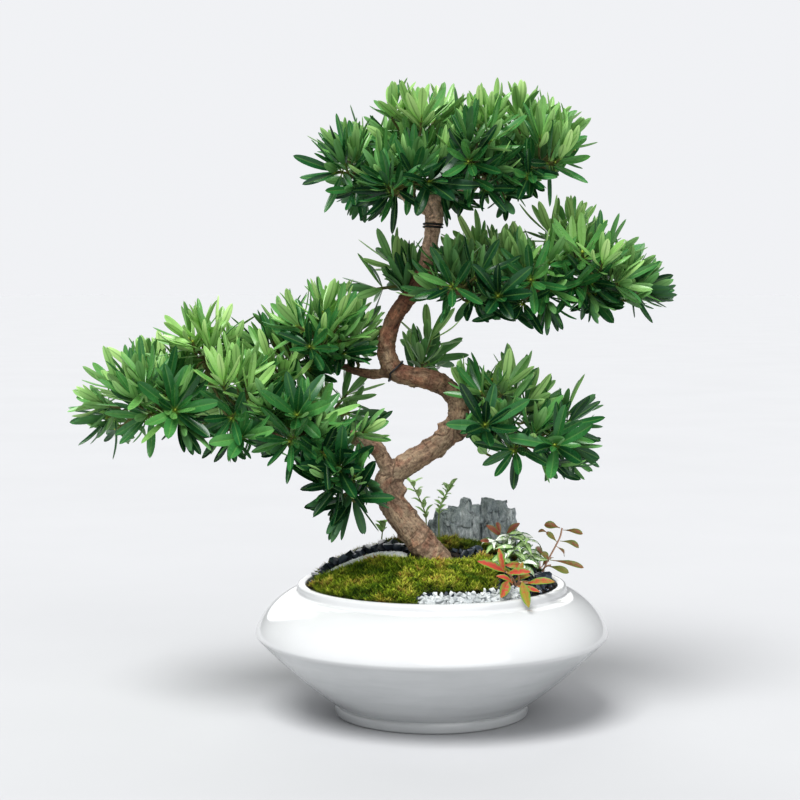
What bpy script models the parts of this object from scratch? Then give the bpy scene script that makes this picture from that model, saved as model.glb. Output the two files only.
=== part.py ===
"""A buddhist pine bonsai in a round white pot.

The origin is the centre of the pot's underside. +Z is up and the best side of the tree faces -Y.
All sizes below are millimetres, and each mesh is scaled to metres as it is made.
"""
import math
import random

import bmesh
import bpy
from mathutils import Vector
from mathutils.bvhtree import BVHTree
from mathutils.geometry import delaunay_2d_cdt

MM = 0.001
GAP = 0.3

# Pot
POT_SIDES = 32
RIDGE_RADIUS = 150.0
RIDGE_HEIGHT = 70.0
FOOT_RADIUS = 83.0
FOOT_HEIGHT = 9.5
COLLAR_RADIUS = 114.5
COLLAR_HEIGHT = 105.0
POT_HEIGHT = 112.0
MOUTH_RADIUS = 106.5
SHOULDER_POWER = 1.5
SHOULDER_STEPS = 3
FLOOR_THICKNESS = 14.0
DRAIN_HOLES = 3
DRAIN_RADIUS = 6.0
DRAIN_RING_RADIUS = 45.0
MESH_SIZE = 26.0
MESH_THICKNESS = 1.0
MESH_HOLES = 2
MESH_OPENING = 0.31

# Ground in the pot
RIM_GROUND = 107.5
MOUND_HEIGHT = 32.0
GROUND_RADIUS = 106.0
TRUNK_HOLE = (2.7, -21.7, 18.6, 13.8)
TRUNK_HOLE_FLOOR = 100.4
STEM_HOLE_RADIUS = 2.6
STEM_HOLE_DEPTH = 12.0
LAYER_LIFT = 0.7
SOIL_CELL = 22.0
MOSS_CELL = 13.0
SAND_CELL = 9.0
GRAVEL_CELL = 5.4
PEBBLE_SHAPE = Vector((1.0, 0.8, 0.55))
PEBBLE_SEAT = 0.42
SLAB_SIDES = 6
SLAB_LEVELS = [(0.0, 1.0), (0.62, 0.97), (1.0, 0.66)]

# Pine leaves and shoots
LEAF_LENGTH = 34.0
LEAF_WIDTH = 8.0
LEAF_THICKNESS = 1.1
LEAF_WIDEST = 0.58
LEAF_NECK = 2.5
LEAF_SEAT = 1.6
TOP_ROW_OPENING = 30
LOW_ROW_OPENING = 66
SHOOT_LENGTH = 23.0
SHOOTS_PER_SPRAY = 2
LEAF_TRIES = 14
TWIG_RADIUS = 2.1
SHOOT_RADIUS = 1.9
SHOOT_SIDES = 5
SHOOT_RINGS = [(8.0, 0.0), (6.4, 0.0), (1.6, 0.5), (0.0, 0.5)]
SHOOT_SPREAD = 0.75
SHOOT_TURN = math.radians(156)
SHOOT_SWAY = 0.5
SHOOT_RISE = 0.1
SHOOT_LENGTHS = (0.9, 1.15)
TWIG_STRAIGHT = 2.5
TWIG_PULL = 0.4
TWIG_CUTS = (0.5, 1.0)
FIRST_STRAY = 0.08
ADDED_STRAY = 0.05
OPENING_SWAY = 7.0
LEAF_LENGTHS = (0.86, 1.14)
LEAF_WIDTHS = (0.88, 1.1)
LEAF_BENDS = (-2.4, -0.2)
HULL_NECK = 0.08

# Trunk and branches, each a run of x, y, z and radius
BRANCHES = {
    "trunk": [
        (9, -22, 101, 10.5), (9, -22, 118, 11.0), (5, -22, 132, 11.5), (-6, -20, 147.5, 11.0),
        (-23, -16, 171, 10.2), (-34, -13, 191, 9.4), (-34.5, -12, 207, 9.0), (-19, -9, 217.5, 8.4),
        (4, -4, 231.5, 8.2), (19, -1, 243.5, 8.4), (23, 2, 259, 8.0), (16, 3, 274.5, 8.0),
        (1.5, 4, 283.5, 8.0), (-17, 5, 287, 8.2), (-32, 6, 292, 8.4), (-39, 6, 306.5, 7.4),
        (-36.5, 5, 325, 6.8), (-28, 4, 343, 6.6), (-14.5, 3, 360, 6.6), (-5, 1, 380, 6.2),
        (-1, 0, 401, 6.2), (1.7, 0, 422.5, 7.4), (2.6, 0, 440, 9.0)],
    "left": [
        (-34.5, -12, 203, 7.5), (-45.5, -16, 226, 6.2), (-59, -20, 235, 5.6), (-81, -22, 239, 5.0),
        (-110, -20, 241, 4.6), (-144, -16, 242, 4.2), (-174, -12, 247, 3.8), (-203, -10, 252, 3.2),
        (-233, -8, 255, 2.6)],
    "upper_left": [
        (-34, 6, 290, 5.0), (-54, 12, 289, 3.8), (-74, 15, 294, 3.2), (-92, 16, 302, 2.6)],
    "right": [
        (-12, 4, 362, 5.5), (7, 2, 361.5, 4.6), (36, 0, 358, 4.2), (70, -4, 359, 3.8),
        (103, -6, 363, 3.2), (136, -4, 366, 2.6)],
    "low_right": [(20, -1, 241, 5.5), (38, -8, 240, 4.2), (56, -14, 240, 3.4), (72, -15, 240, 2.6)],
    "crown_left": [(1, 0, 424, 4.5), (-18, -3, 436, 3.4), (-38, -6, 446, 2.6)],
    "crown_right": [(2, 0, 424, 4.8), (24, 0, 441, 3.8), (48, -2, 454, 3.0), (64, -3, 459, 2.4)],
}
TRUNK_SIDES = 8
BRANCH_SIDES = 6
CURVE_STEPS = 2

# Training wire: place on the trunk's path, steps of the path that it covers, and turns
WIRES = {"wire_top": (41.2, 0.9, 2), "wire_bend": (28.0, 0.6, 1)}
WIRE_RADIUS = 1.1
WIRE_STEPS = 10
WIRE_START = Vector((0.3, 0.8, 0.2))
STEM_STEPS = 8

# Sprays: branch, how far along it, centre of the spray, and the way it leans
SPRAYS = {
    "crown_1": ("crown_left", 1.0, (-62, -12, 456), (-1.0, -0.2, 0.35)),
    "crown_2": ("crown_left", 0.7, (-42, 28, 468), (-0.5, 0.6, 0.8)),
    "crown_3": ("crown_left", 0.5, (-20, -40, 448), (-0.4, -0.9, 0.2)),
    "crown_4": ("trunk", 1.0, (-8, 4, 482), (-0.1, 0.0, 1.0)),
    "crown_5": ("crown_right", 0.5, (30, 34, 478), (0.1, 0.6, 0.9)),
    "crown_6": ("crown_right", 0.65, (34, -36, 462), (0.1, -0.8, 0.5)),
    "crown_7": ("crown_right", 0.82, (76, 20, 480), (0.5, 0.4, 0.8)),
    "crown_8": ("crown_right", 1.0, (88, -18, 464), (0.9, -0.4, 0.35)),
    "right_1": ("trunk", 0.80, (-24, 30, 364), (-0.8, 0.6, 0.3)),
    "right_2": ("right", 0.35, (24, -32, 362), (0.0, -0.8, 0.4)),
    "right_3": ("right", 0.45, (48, 28, 374), (0.1, 0.6, 0.8)),
    "right_4": ("right", 0.62, (84, -30, 364), (0.2, -0.7, 0.5)),
    "right_5": ("right", 0.78, (108, 18, 388), (0.2, 0.3, 0.95)),
    "right_6": ("right", 0.88, (126, -26, 374), (0.4, -0.5, 0.7)),
    "right_7": ("right", 1.0, (151, 2, 362), (1.0, 0.1, 0.25)),
    "upper_left_1": ("upper_left", 0.5, (-72, 32, 314), (0.2, 0.5, 0.9)),
    "upper_left_2": ("upper_left", 0.8, (-96, -2, 318), (-0.3, -0.4, 0.9)),
    "upper_left_3": ("upper_left", 1.0, (-122, 26, 304), (-0.7, 0.3, 0.6)),
    "left_1": ("left", 1.0, (-251, -8, 262), (-1.0, 0.0, 0.15)),
    "left_2": ("left", 0.90, (-230, 26, 278), (-0.5, 0.5, 0.7)),
    "left_3": ("left", 0.85, (-222, -38, 262), (-0.3, -0.8, 0.3)),
    "left_4": ("left", 0.76, (-192, 4, 300), (-0.1, 0.1, 1.0)),
    "left_5": ("left", 0.64, (-166, 42, 272), (0.0, 0.7, 0.6)),
    "left_6": ("left", 0.60, (-158, -48, 262), (0.0, -0.8, 0.3)),
    "left_7": ("left", 0.48, (-122, -6, 282), (-0.1, -0.1, 0.95)),
    "left_8": ("left", 0.42, (-106, -56, 244), (0.1, -0.8, 0.1)),
    "left_9": ("left", 0.24, (-68, -54, 212), (0.1, -0.5, -0.7)),
    "left_10": ("left", 0.34, (-86, 26, 254), (0.1, 0.8, 0.3)),
    "low_right_1": ("low_right", 0.4, (50, -32, 262), (0.0, -0.4, 0.9)),
    "low_right_2": ("low_right", 0.7, (74, 16, 258), (0.3, 0.6, 0.7)),
    "low_right_3": ("low_right", 1.0, (98, -16, 242), (0.9, -0.2, 0.2)),
    "low_right_4": ("low_right", 0.75, (72, -46, 234), (0.3, -0.9, -0.1)),
    "rear_1": ("trunk", 0.60, (-8, 42, 298), (0.3, 0.7, 0.5)),
}

# Where the small plants stand on the ground, and the sprigs' stems and pairs of leaves
RED_PLANT = (66.0, -56.0)
VARIEGATED_PLANT = (64.0, -8.0)
TALL_PLANT = (93.0, 8.0)
SPRIGS = {
    "sprig_tall": [(-6, 22, 0), (-5, 22, 26), (-17, 22, 54)],
    "sprig_short": [(7, 20, 0), (7, 20, 30), (16, 21, 50)],
    "sprig_left": [(-44, 34, 0), (-43, 34, 10), (-42, 33, 22)],
}
SPRIG_PAIRS = {"sprig_tall": 4, "sprig_short": 4, "sprig_left": 3}
SPRIG_TURN = 0.7
SMALL_LEAF_UP = Vector((0, -0.25, 1))
SEAT_PULLS = (0.3, 0.8, 1.5, 3.0, 8.0)


def clear_scene():
    for thing in list(bpy.data.objects):
        bpy.data.objects.remove(thing, do_unlink=True)


def material(name, colour, roughness, metallic=0.0):
    """One plain Principled material."""
    made = bpy.data.materials.new(name)
    made.use_nodes = True
    shader = made.node_tree.nodes["Principled BSDF"]
    shader.inputs["Base Color"].default_value = (*colour, 1.0)
    shader.inputs["Roughness"].default_value = roughness
    shader.inputs["Metallic"].default_value = metallic
    return made


def add_object(name, shape, finish, smooth_angle=None):
    """An object from a shape, which is a list of corners in millimetres and a list of faces."""
    corners, faces = shape
    mesh = bpy.data.meshes.new(name)
    mesh.from_pydata([Vector(corner) * MM for corner in corners], [], faces)
    mesh.update()
    made = bpy.data.objects.new(name, mesh)
    bpy.context.scene.collection.objects.link(made)
    if finish is not None:
        mesh.materials.append(finish)
    if smooth_angle is not None:
        mesh.shade_smooth()
        mesh.set_sharp_from_angle(angle=math.radians(smooth_angle))
    return made


def keep_result(made):
    """Replaces an object's mesh by what its modifiers make of it."""
    graph = bpy.context.evaluated_depsgraph_get()
    result = bpy.data.meshes.new_from_object(made.evaluated_get(graph))
    made.modifiers.clear()
    made.data = result


def join_shapes(name, shapes, finish, smooth_angle=None, solver="EXACT"):
    """One object from several closed shapes that sink into each other."""
    made = add_object(name, shapes[0], finish)
    others = bpy.data.collections.new(name + "_pieces")
    bpy.context.scene.collection.children.link(others)
    for shape in shapes[1:]:
        piece = add_object(name + "_piece", shape, finish)
        bpy.context.scene.collection.objects.unlink(piece)
        others.objects.link(piece)
    union = made.modifiers.new("union", "BOOLEAN")
    union.operation = "UNION"
    union.operand_type = "COLLECTION"
    union.collection = others
    union.solver = solver
    keep_result(made)
    for piece in list(others.objects):
        bpy.data.objects.remove(piece, do_unlink=True)
    bpy.data.collections.remove(others)
    if smooth_angle is not None:
        made.data.shade_smooth()
        made.data.set_sharp_from_angle(angle=math.radians(smooth_angle))
    return made


def turned(name, profile, sides, finish, smooth_angle):
    """A solid of revolution. Its profile runs from the axis, along the outside, to the axis."""
    shape = bmesh.new()
    verts = [shape.verts.new((radius * MM, 0, height * MM)) for radius, height in profile]
    edges = [shape.edges.new(pair) for pair in zip(verts, verts[1:])]
    bmesh.ops.spin(shape, geom=verts + edges, axis=(0, 0, 1), cent=(0, 0, 0),
                   angle=math.tau, steps=sides, use_merge=True)
    bmesh.ops.remove_doubles(shape, verts=shape.verts, dist=0.01 * MM)
    bmesh.ops.recalc_face_normals(shape, faces=shape.faces)
    mesh = bpy.data.meshes.new(name)
    shape.to_mesh(mesh)
    shape.free()
    made = bpy.data.objects.new(name, mesh)
    bpy.context.scene.collection.objects.link(made)
    mesh.materials.append(finish)
    mesh.shade_smooth()
    mesh.set_sharp_from_angle(angle=math.radians(smooth_angle))
    return made


def smooth_path(points, steps):
    """Centres and radii along the Catmull-Rom curve through the points."""
    path = []
    last = len(points) - 1
    for i in range(last):
        four = [points[max(i - 1, 0)], points[i], points[i + 1], points[min(i + 2, last)]]
        for step in range(steps):
            t = step / steps
            weights = (-0.5 * t + t ** 2 - 0.5 * t ** 3, 1 - 2.5 * t ** 2 + 1.5 * t ** 3,
                       0.5 * t + 2 * t ** 2 - 1.5 * t ** 3, -0.5 * t ** 2 + 0.5 * t ** 3)
            values = [sum(w * point[k] for w, point in zip(weights, four)) for k in range(4)]
            path.append((Vector(values[:3]), values[3]))
    path.append((Vector(points[-1][:3]), points[-1][3]))
    return path


def tube_rings(path, sides):
    """Rings of corners round a path of centres and radii, with a twist in turns where given."""
    rings = []
    side = None
    for i, (centre, radius, *twist) in enumerate(path):
        ahead = path[min(i + 1, len(path) - 1)][0]
        behind = path[max(i - 1, 0)][0]
        tangent = (ahead - behind).normalized()
        if side is None:
            side = tangent.orthogonal()
        side = (side - tangent * side.dot(tangent)).normalized()
        other = tangent.cross(side)
        offset = twist[0] if twist else 0.0
        ring = []
        for k in range(sides):
            angle = math.tau * (k + offset) / sides
            ring.append(centre + (side * math.cos(angle) + other * math.sin(angle)) * radius)
        rings.append(ring)
    return rings


def leaf_frame(leaf):
    """The corners of a leaf past its root: both edges and the keel at its widest, then its tip."""
    root, tip, face_up, width, thickness, bend = leaf
    along = (tip - root).normalized()
    up = (face_up - along * face_up.dot(along)).normalized()
    across = up.cross(along)
    middle = root.lerp(tip, LEAF_WIDEST) + up * bend
    half = across * (width / 2)
    return [middle - half, middle + half, middle - up * thickness, tip]


def leaf_faces(low0, low1, up1, up0, first):
    """The ten triangles of a leaf, from the corners of the face it grows from and its own four."""
    left, right, keel, tip = range(first, first + 4)
    return [(up1, up0, left), (up1, left, right), (low0, low1, keel), (low1, up1, right),
            (low1, right, keel), (up0, low0, keel), (up0, keel, left),
            (right, left, tip), (left, keel, tip), (keel, right, tip)]


def crosses_itself(rings, segment, k, leaf):
    """Whether a leaf's faces would cut each other, as they do when it is twisted at its root."""
    after = (k + 1) % len(rings[0])
    low, high = rings[segment], rings[segment + 1]
    corners = [low[k], low[after], high[after], high[k]] + leaf_frame(leaf)
    faces = leaf_faces(0, 1, 2, 3, 4)
    tree = BVHTree.FromPolygons(corners, faces)
    return any(not set(faces[a]) & set(faces[b]) for a, b in tree.overlap(tree))


def leafy_shape(rings, leaves):
    """A closed tube through the rings, with some of its faces drawn out into leaves.

    leaves names them by segment and side. A leaf's root is the face that it grows from.
    """
    sides = len(rings[0])
    corners = [corner for ring in rings for corner in ring]
    faces = []
    for segment in range(len(rings) - 1):
        for k in range(sides):
            after = (k + 1) % sides
            low0 = segment * sides + k
            low1 = segment * sides + after
            up0 = low0 + sides
            up1 = low1 + sides
            leaf = leaves.get((segment, k))
            if leaf is None:
                faces.append((low0, low1, up1, up0))
                continue
            faces += leaf_faces(low0, low1, up1, up0, len(corners))
            corners += leaf_frame(leaf)
    faces.append(tuple(reversed(range(sides))))
    last = (len(rings) - 1) * sides
    faces.append(tuple(range(last, last + sides)))
    return corners, faces


def tube(path, sides):
    """A closed tube round a path of centres and radii."""
    return leafy_shape(tube_rings(path, sides), {})


def seat(rings, segment, k):
    """The middle of one face of a tube, the way out of it and the way along the stem."""
    sides = len(rings[0])
    low = rings[segment]
    high = rings[segment + 1]
    axis = (sum(high, Vector()) - sum(low, Vector())).normalized()
    middle = (low[k] + low[(k + 1) % sides] + high[k] + high[(k + 1) % sides]) / 4
    centre = (sum(high, Vector()) + sum(low, Vector())) / (2 * sides)
    outward = middle - centre
    outward = (outward - axis * outward.dot(axis)).normalized()
    return middle, outward, axis


def ground(x, y):
    """Height of the soil's surface."""
    rho = (x * x + y * y) / GROUND_RADIUS ** 2
    skew = 1 + (0.35 * y + 0.05 * x) / GROUND_RADIUS
    return RIM_GROUND + MOUND_HEIGHT * (1 - rho) * skew


def ellipse(centre_x, centre_y, radius_x, radius_y, sides):
    return [(centre_x + radius_x * math.cos(math.tau * k / sides),
             centre_y + radius_y * math.sin(math.tau * k / sides)) for k in range(sides)]


def arc(radius, start, end, steps):
    """Points round the pot's axis, with the angles in degrees."""
    angles = [math.radians(start + (end - start) * k / steps) for k in range(steps + 1)]
    return [(radius * math.cos(angle), radius * math.sin(angle)) for angle in angles]


def inside(point, outline):
    """Whether a point lies inside a closed outline, by counting the edges it crosses."""
    x, y = point
    odd = False
    for (x1, y1), (x2, y2) in zip(outline, outline[1:] + outline[:1]):
        if (y1 > y) != (y2 > y) and x < x1 + (y - y1) * (x2 - x1) / (y2 - y1):
            odd = not odd
    return odd


def edge_distance(point, outlines):
    """Distance from a point to the nearest edge of the outlines."""
    best = 1e9
    spot = Vector(point)
    for outline in outlines:
        for start, end in zip(outline, outline[1:] + outline[:1]):
            a = Vector(start)
            run = Vector(end) - a
            t = max(0.0, min(1.0, (spot - a).dot(run) / run.length_squared))
            best = min(best, (a + run * t - spot).length)
    return best


def subdivided(outline, cell):
    """The outline with its long edges split to about the cell's size."""
    result = []
    for start, end in zip(outline, outline[1:] + outline[:1]):
        count = max(1, round((Vector(end) - Vector(start)).length / cell))
        for k in range(count):
            result.append(tuple(Vector(start).lerp(Vector(end), k / count)))
    return result


def sheet_plan(outline, holes, cell):
    """Corners and anticlockwise triangles that fill an outline round its holes, and open edges."""
    rings = [outline] + holes
    spots = [spot for ring in rings for spot in ring]
    edges = []
    start = 0
    for ring in rings:
        count = len(ring)
        edges += [(start + k, start + (k + 1) % count) for k in range(count)]
        start += count
    reach = max(max(abs(x), abs(y)) for x, y in outline)
    row_height = cell * math.sqrt(0.75)
    rows = int(reach / row_height) + 1
    columns = int(reach / cell) + 1
    for row in range(-rows, rows + 1):
        for column in range(-columns, columns + 1):
            spot = ((column + 0.5 * (row % 2)) * cell, row * row_height)
            if inside(spot, outline) and not any(inside(spot, hole) for hole in holes):
                if edge_distance(spot, rings) > 0.55 * cell:
                    spots.append(spot)
    plan = delaunay_2d_cdt([Vector(spot) for spot in spots], edges, [], 0, 1e-5)
    corners = plan[0]
    triangles = []
    directed = set()
    for a, b, c in plan[2]:
        turn = (corners[b] - corners[a]).cross(corners[c] - corners[a])
        if abs(turn) < 1e-3:
            continue
        if turn < 0:
            b, c = c, b
        middle = (corners[a] + corners[b] + corners[c]) / 3
        if inside(middle, outline) and not any(inside(middle, hole) for hole in holes):
            triangles.append((a, b, c))
            directed.update(((a, b), (b, c), (c, a)))
    open_edges = sorted((a, b) for a, b in directed if (b, a) not in directed)
    return corners, triangles, open_edges


def layer(outline, holes, cell, bottom, top):
    """A closed sheet that lies on the ground, from its two height formulas."""
    outline = subdivided(outline, cell)
    corners, triangles, open_edges = sheet_plan(outline, holes, cell)
    rings = [outline] + holes
    count = len(corners)
    verts = [(x, y, bottom(x, y)) for x, y in corners]
    verts += [(x, y, top(x, y, edge_distance((x, y), rings))) for x, y in corners]
    faces = [(a, b, b + count, a + count) for a, b in open_edges]
    for a, b, c in triangles:
        faces.append((a + count, b + count, c + count))
        faces.append((c, b, a))
    return verts, faces


def pot_shoulder():
    """The rounded shoulder, from the ridge up to the collar, as a flat superellipse."""
    reach = RIDGE_RADIUS - COLLAR_RADIUS - 1.5
    rise = COLLAR_HEIGHT - RIDGE_HEIGHT
    points = []
    for step in range(SHOULDER_STEPS + 1):
        angle = math.pi / 2 * step / SHOULDER_STEPS
        across = math.cos(angle) ** (2 / SHOULDER_POWER)
        up = math.sin(angle) ** (2 / SHOULDER_POWER)
        points.append((RIDGE_RADIUS - reach + reach * across, RIDGE_HEIGHT + rise * up))
    return points


def pot_outside():
    foot = [(0, 0), (FOOT_RADIUS - 1, 0), (FOOT_RADIUS, 1), (FOOT_RADIUS, FOOT_HEIGHT)]
    wall = [(FOOT_RADIUS + 1.5, FOOT_HEIGHT + 1), (118, 38), (RIDGE_RADIUS - 1.5, RIDGE_HEIGHT - 5)]
    collar = [(COLLAR_RADIUS, COLLAR_HEIGHT + 1.5), (COLLAR_RADIUS, POT_HEIGHT - 1),
              (COLLAR_RADIUS - 1, POT_HEIGHT), (MOUTH_RADIUS + 1, POT_HEIGHT)]
    return foot + wall + pot_shoulder() + collar


def pot_inside():
    """The hollow's outline, from the mouth down to the floor's edge."""
    return [(MOUTH_RADIUS, POT_HEIGHT - 1), (MOUTH_RADIUS, 101), (126, 91), (141, 72), (141, 67),
            (77, FLOOR_THICKNESS)]


def drain_spots():
    angles = [math.radians(90 + 360 * k / DRAIN_HOLES) for k in range(DRAIN_HOLES)]
    return [(DRAIN_RING_RADIUS * math.cos(a), DRAIN_RING_RADIUS * math.sin(a)) for a in angles]


def make_pot(finish):
    profile = pot_outside() + pot_inside() + [(0, FLOOR_THICKNESS)]
    pot = turned("pot", profile, POT_SIDES, finish, 32)
    for x, y in drain_spots():
        drill_path = [(Vector((x, y, -5)), DRAIN_RADIUS), (Vector((x, y, 25)), DRAIN_RADIUS)]
        drill = add_object("drill", tube(drill_path, 12), None)
        cut = pot.modifiers.new("drain", "BOOLEAN")
        cut.operation = "DIFFERENCE"
        cut.object = drill
        keep_result(pot)
        bpy.data.objects.remove(drill, do_unlink=True)


def make_drain_mesh(finish):
    """One square of plastic net over each drain hole, on the pot's floor."""
    low = FLOOR_THICKNESS + GAP
    pitch = MESH_SIZE / MESH_HOLES
    for number, (x, y) in enumerate(drain_spots(), 1):
        half = MESH_SIZE / 2
        outline = [(x - half, y - half), (x + half, y - half), (x + half, y + half), (x - half, y + half)]
        holes = []
        for row in range(MESH_HOLES):
            for column in range(MESH_HOLES):
                centre_x = x - half + (column + 0.5) * pitch
                centre_y = y - half + (row + 0.5) * pitch
                opening = pitch * MESH_OPENING
                holes.append([(centre_x - opening, centre_y - opening),
                              (centre_x + opening, centre_y - opening),
                              (centre_x + opening, centre_y + opening),
                              (centre_x - opening, centre_y + opening)])
        net = layer(outline, holes, MESH_SIZE, lambda u, v: low,
                    lambda u, v, edge: low + MESH_THICKNESS)
        add_object(f"drain_mesh_{number}", net, finish)


def stem_spots():
    """Where the small plants' stems stand."""
    spots = [RED_PLANT, VARIEGATED_PLANT, TALL_PLANT]
    return spots + [points[0][:2] for points in SPRIGS.values()]


def make_soil(finish):
    """Soil that fills the pot, mounded towards the trunk, with plain holes for what stands in it."""
    holes = [ellipse(*TRUNK_HOLE, 14)]
    depths = [TRUNK_HOLE_FLOOR]
    for x, y in stem_spots():
        holes.append(ellipse(x, y, STEM_HOLE_RADIUS, STEM_HOLE_RADIUS, 6))
        depths.append(ground(x, y) - STEM_HOLE_DEPTH)
    rim = [(radius - GAP, height) for radius, height in pot_inside()]
    ring_angles = [math.tau * k / POT_SIDES for k in range(POT_SIDES)]
    outline = [(rim[0][0] * math.cos(a), rim[0][0] * math.sin(a)) for a in ring_angles]
    corners, faces, _ = sheet_plan(outline, holes, SOIL_CELL)
    verts = [(x, y, ground(x, y)) for x, y in corners]
    floor = FLOOR_THICKNESS + MESH_THICKNESS + 2 * GAP
    levels = rim[1:-1] + [(rim[-1][0], floor)]
    ring = list(range(POT_SIDES))
    for radius, height in levels:
        below = []
        for angle in ring_angles:
            below.append(len(verts))
            verts.append((radius * math.cos(angle), radius * math.sin(angle), height))
        for k in range(POT_SIDES):
            after = (k + 1) % POT_SIDES
            faces.append((ring[k], below[k], below[after], ring[after]))
        ring = below
    faces.append(tuple(reversed(ring)))
    start = POT_SIDES
    for hole, depth in zip(holes, depths):
        count = len(hole)
        bottom = []
        for x, y in hole:
            bottom.append(len(verts))
            verts.append((x, y, depth))
        for k in range(count):
            after = (k + 1) % count
            faces.append((start + k, start + after, bottom[after], bottom[k]))
        faces.append(tuple(bottom))
        start += count
    add_object("soil", (verts, faces), finish)


def lumps(x, y, size):
    """A soft irregular swell between -1 and 1, for moss and gravel."""
    waves = math.sin(x / size + 1.7 * math.sin(y / size * 0.8)) + math.sin(y / size * 1.1 - 0.6)
    return 0.5 * waves * math.cos((x + y) / size * 0.37)


def moss_top(x, y, edge):
    return ground(x, y) + 2.0 + 3.0 * min(1.0, edge / 9.0) ** 0.5 + 0.8 * lumps(x, y, 7.0)


def on_ground(x, y):
    return ground(x, y) + GAP


def over_ground(x, y):
    """The underside of a coarse sheet, whose flat faces cut across the ground's curve."""
    return ground(x, y) + LAYER_LIFT


def make_moss(finish):
    front = arc(104, 188, 262, 9) + [
        (-12, -87), (10, -87), (32, -82), (46, -75), (54, -64), (50, -52), (57, -38), (53, -24),
        (44, -14), (37, -18), (33, -32), (14, -38), (-6, -38), (-20, -31), (-40, -20), (-62, -15),
        (-86, -15)]
    add_object("moss_front", layer(front, [], MOSS_CELL, over_ground, moss_top), finish, 60)
    back = arc(104, 16, 168, 16) + [
        (-88, 21), (-76, 22), (-60, 25), (-46, 22), (-34, 18), (-24, 10), (-12, 0), (3, -6),
        (18, -4), (28, 0), (40, 6), (56, 9), (70, 11), (84, 19)]
    rock_bed = [(-10, 33), (20, 29), (44, 28), (79, 30), (84, 44), (78, 62), (30, 65), (-7, 60)]
    stems = [ellipse(*points[0][:2], STEM_HOLE_RADIUS, STEM_HOLE_RADIUS, 6)
             for points in SPRIGS.values()]
    shape = layer(back, [subdivided(rock_bed, MOSS_CELL)] + stems, MOSS_CELL, over_ground, moss_top)
    add_object("moss_back", shape, finish, 60)


def make_sand(finish):
    outline = [(-97, -9), (-84, -11), (-62, -11), (-41, -16), (-22, -25), (-20, -14), (-36, -2),
               (-50, 5), (-66, 6), (-84, 5), (-95, -4)]

    def sand_top(x, y, edge):
        return ground(x, y) + 1.4 + min(edge, 4) * 0.3

    add_object("white_sand", layer(outline, [], SAND_CELL, on_ground, sand_top), finish, 60)


def make_gravel(finish):
    """White gravel along the front of the rim, with its grains raised from one bed."""
    outline = arc(104, 263.5, 319, 12) + arc(90, 319, 263.5, 10)

    def grains(x, y, edge):
        return ground(x, y) + 2.2 + 1.3 * math.sin(x * 1.9 + y * 0.7) * math.sin(y * 1.7 - x * 0.5)

    add_object("white_gravel", layer(outline, [], GRAVEL_CELL, on_ground, grains), finish)


def pebble(x, y, size, turn, rng):
    """A flat stone with 12 corners and 20 faces that sits on the ground."""
    shape = bmesh.new()
    bmesh.ops.create_icosphere(shape, subdivisions=1, radius=1.0)
    corners = []
    for vert in shape.verts:
        local = vert.co * PEBBLE_SHAPE * size * rng.uniform(0.92, 1.08)
        along = local.x * math.cos(turn) - local.y * math.sin(turn)
        across = local.x * math.sin(turn) + local.y * math.cos(turn)
        lowest = ground(x + along, y + across) + GAP + 0.1
        height = max(lowest, ground(x, y) + size * PEBBLE_SEAT + local.z)
        corners.append((x + along, y + across, height))
    faces = [tuple(vert.index for vert in face.verts) for face in shape.faces]
    shape.free()
    return corners, faces


def make_slates(finish):
    """Dark slate pebbles, each chain of them touching."""
    chains = {
        "slate_left": [(-97, 4, 7.0), (-90, 11, 7.8), (-81.5, 14.5, 8.0), (-72, 16, 8.6),
                       (-62, 17, 8.4), (-52.5, 16, 8.4), (-43.5, 12.5, 8.2), (-35, 7.5, 8.0),
                       (-28, 1, 7.4)],
        "slate_trunk": [(27.5, -22, 5.6), (31, -14, 6.8), (38.5, -7.5, 6.6)],
        "slate_rim": [(96, -6, 7.4), (95, -16, 7.4), (90.5, -25, 7.6)],
    }
    rng = random.Random(4)
    for name, stones in chains.items():
        shapes = [pebble(x, y, size, rng.uniform(0, 1.2), rng) for x, y, size in stones]
        join_shapes(name, shapes, finish)


def slab(x, y, half_x, half_y, top, rng):
    """One upright layer of a rock: a six-sided pillar with a broken top."""
    sides = SLAB_SIDES
    wobble = [rng.uniform(0.86, 1.1) for _ in range(sides)]
    corners = []
    faces = []
    for level, (height, spread) in enumerate(SLAB_LEVELS):
        for k in range(sides):
            angle = math.tau * k / sides
            stretch = wobble[k] * spread * rng.uniform(0.95, 1.05)
            u = x + half_x * stretch * math.cos(angle)
            v = y + half_y * stretch * math.sin(angle)
            low = ground(u, v) + GAP + 0.2
            drop = rng.uniform(0, 3.5) if level else 0.0
            corners.append((u, v, low + (top - low) * height - drop))
        if level:
            for k in range(sides):
                after = (k + 1) % sides
                under = (level - 1) * sides
                over = level * sides
                faces.append((under + k, under + after, over + after, over + k))
    corners.append((x, y, ground(x, y) + GAP + 0.2))
    middle = len(corners) - 1
    for k in range(sides):
        faces.append((middle, (k + 1) % sides, k))
    faces.append(tuple(range(middle - sides, middle)))
    return corners, faces


def make_rocks(finish):
    rocks = {
        "rock_left": [(3, 45, 10, 11, 161), (14, 44, 11, 13, 171), (27, 44, 9, 13, 181),
                      (36, 46, 9, 12, 170)],
        "rock_right": [(54, 45, 8, 12, 178), (63, 47, 8, 12, 175), (71, 45, 7, 11, 168)],
    }
    rng = random.Random(11)
    for name, slabs in rocks.items():
        join_shapes(name, [slab(*values, rng) for values in slabs], finish)


def branch_paths():
    return {name: smooth_path(points, CURVE_STEPS) for name, points in BRANCHES.items()}


def branch_shape(name, path, swell=0.0):
    sides = TRUNK_SIDES if name == "trunk" else BRANCH_SIDES
    return tube([(centre, radius + swell) for centre, radius in path], sides)


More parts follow.
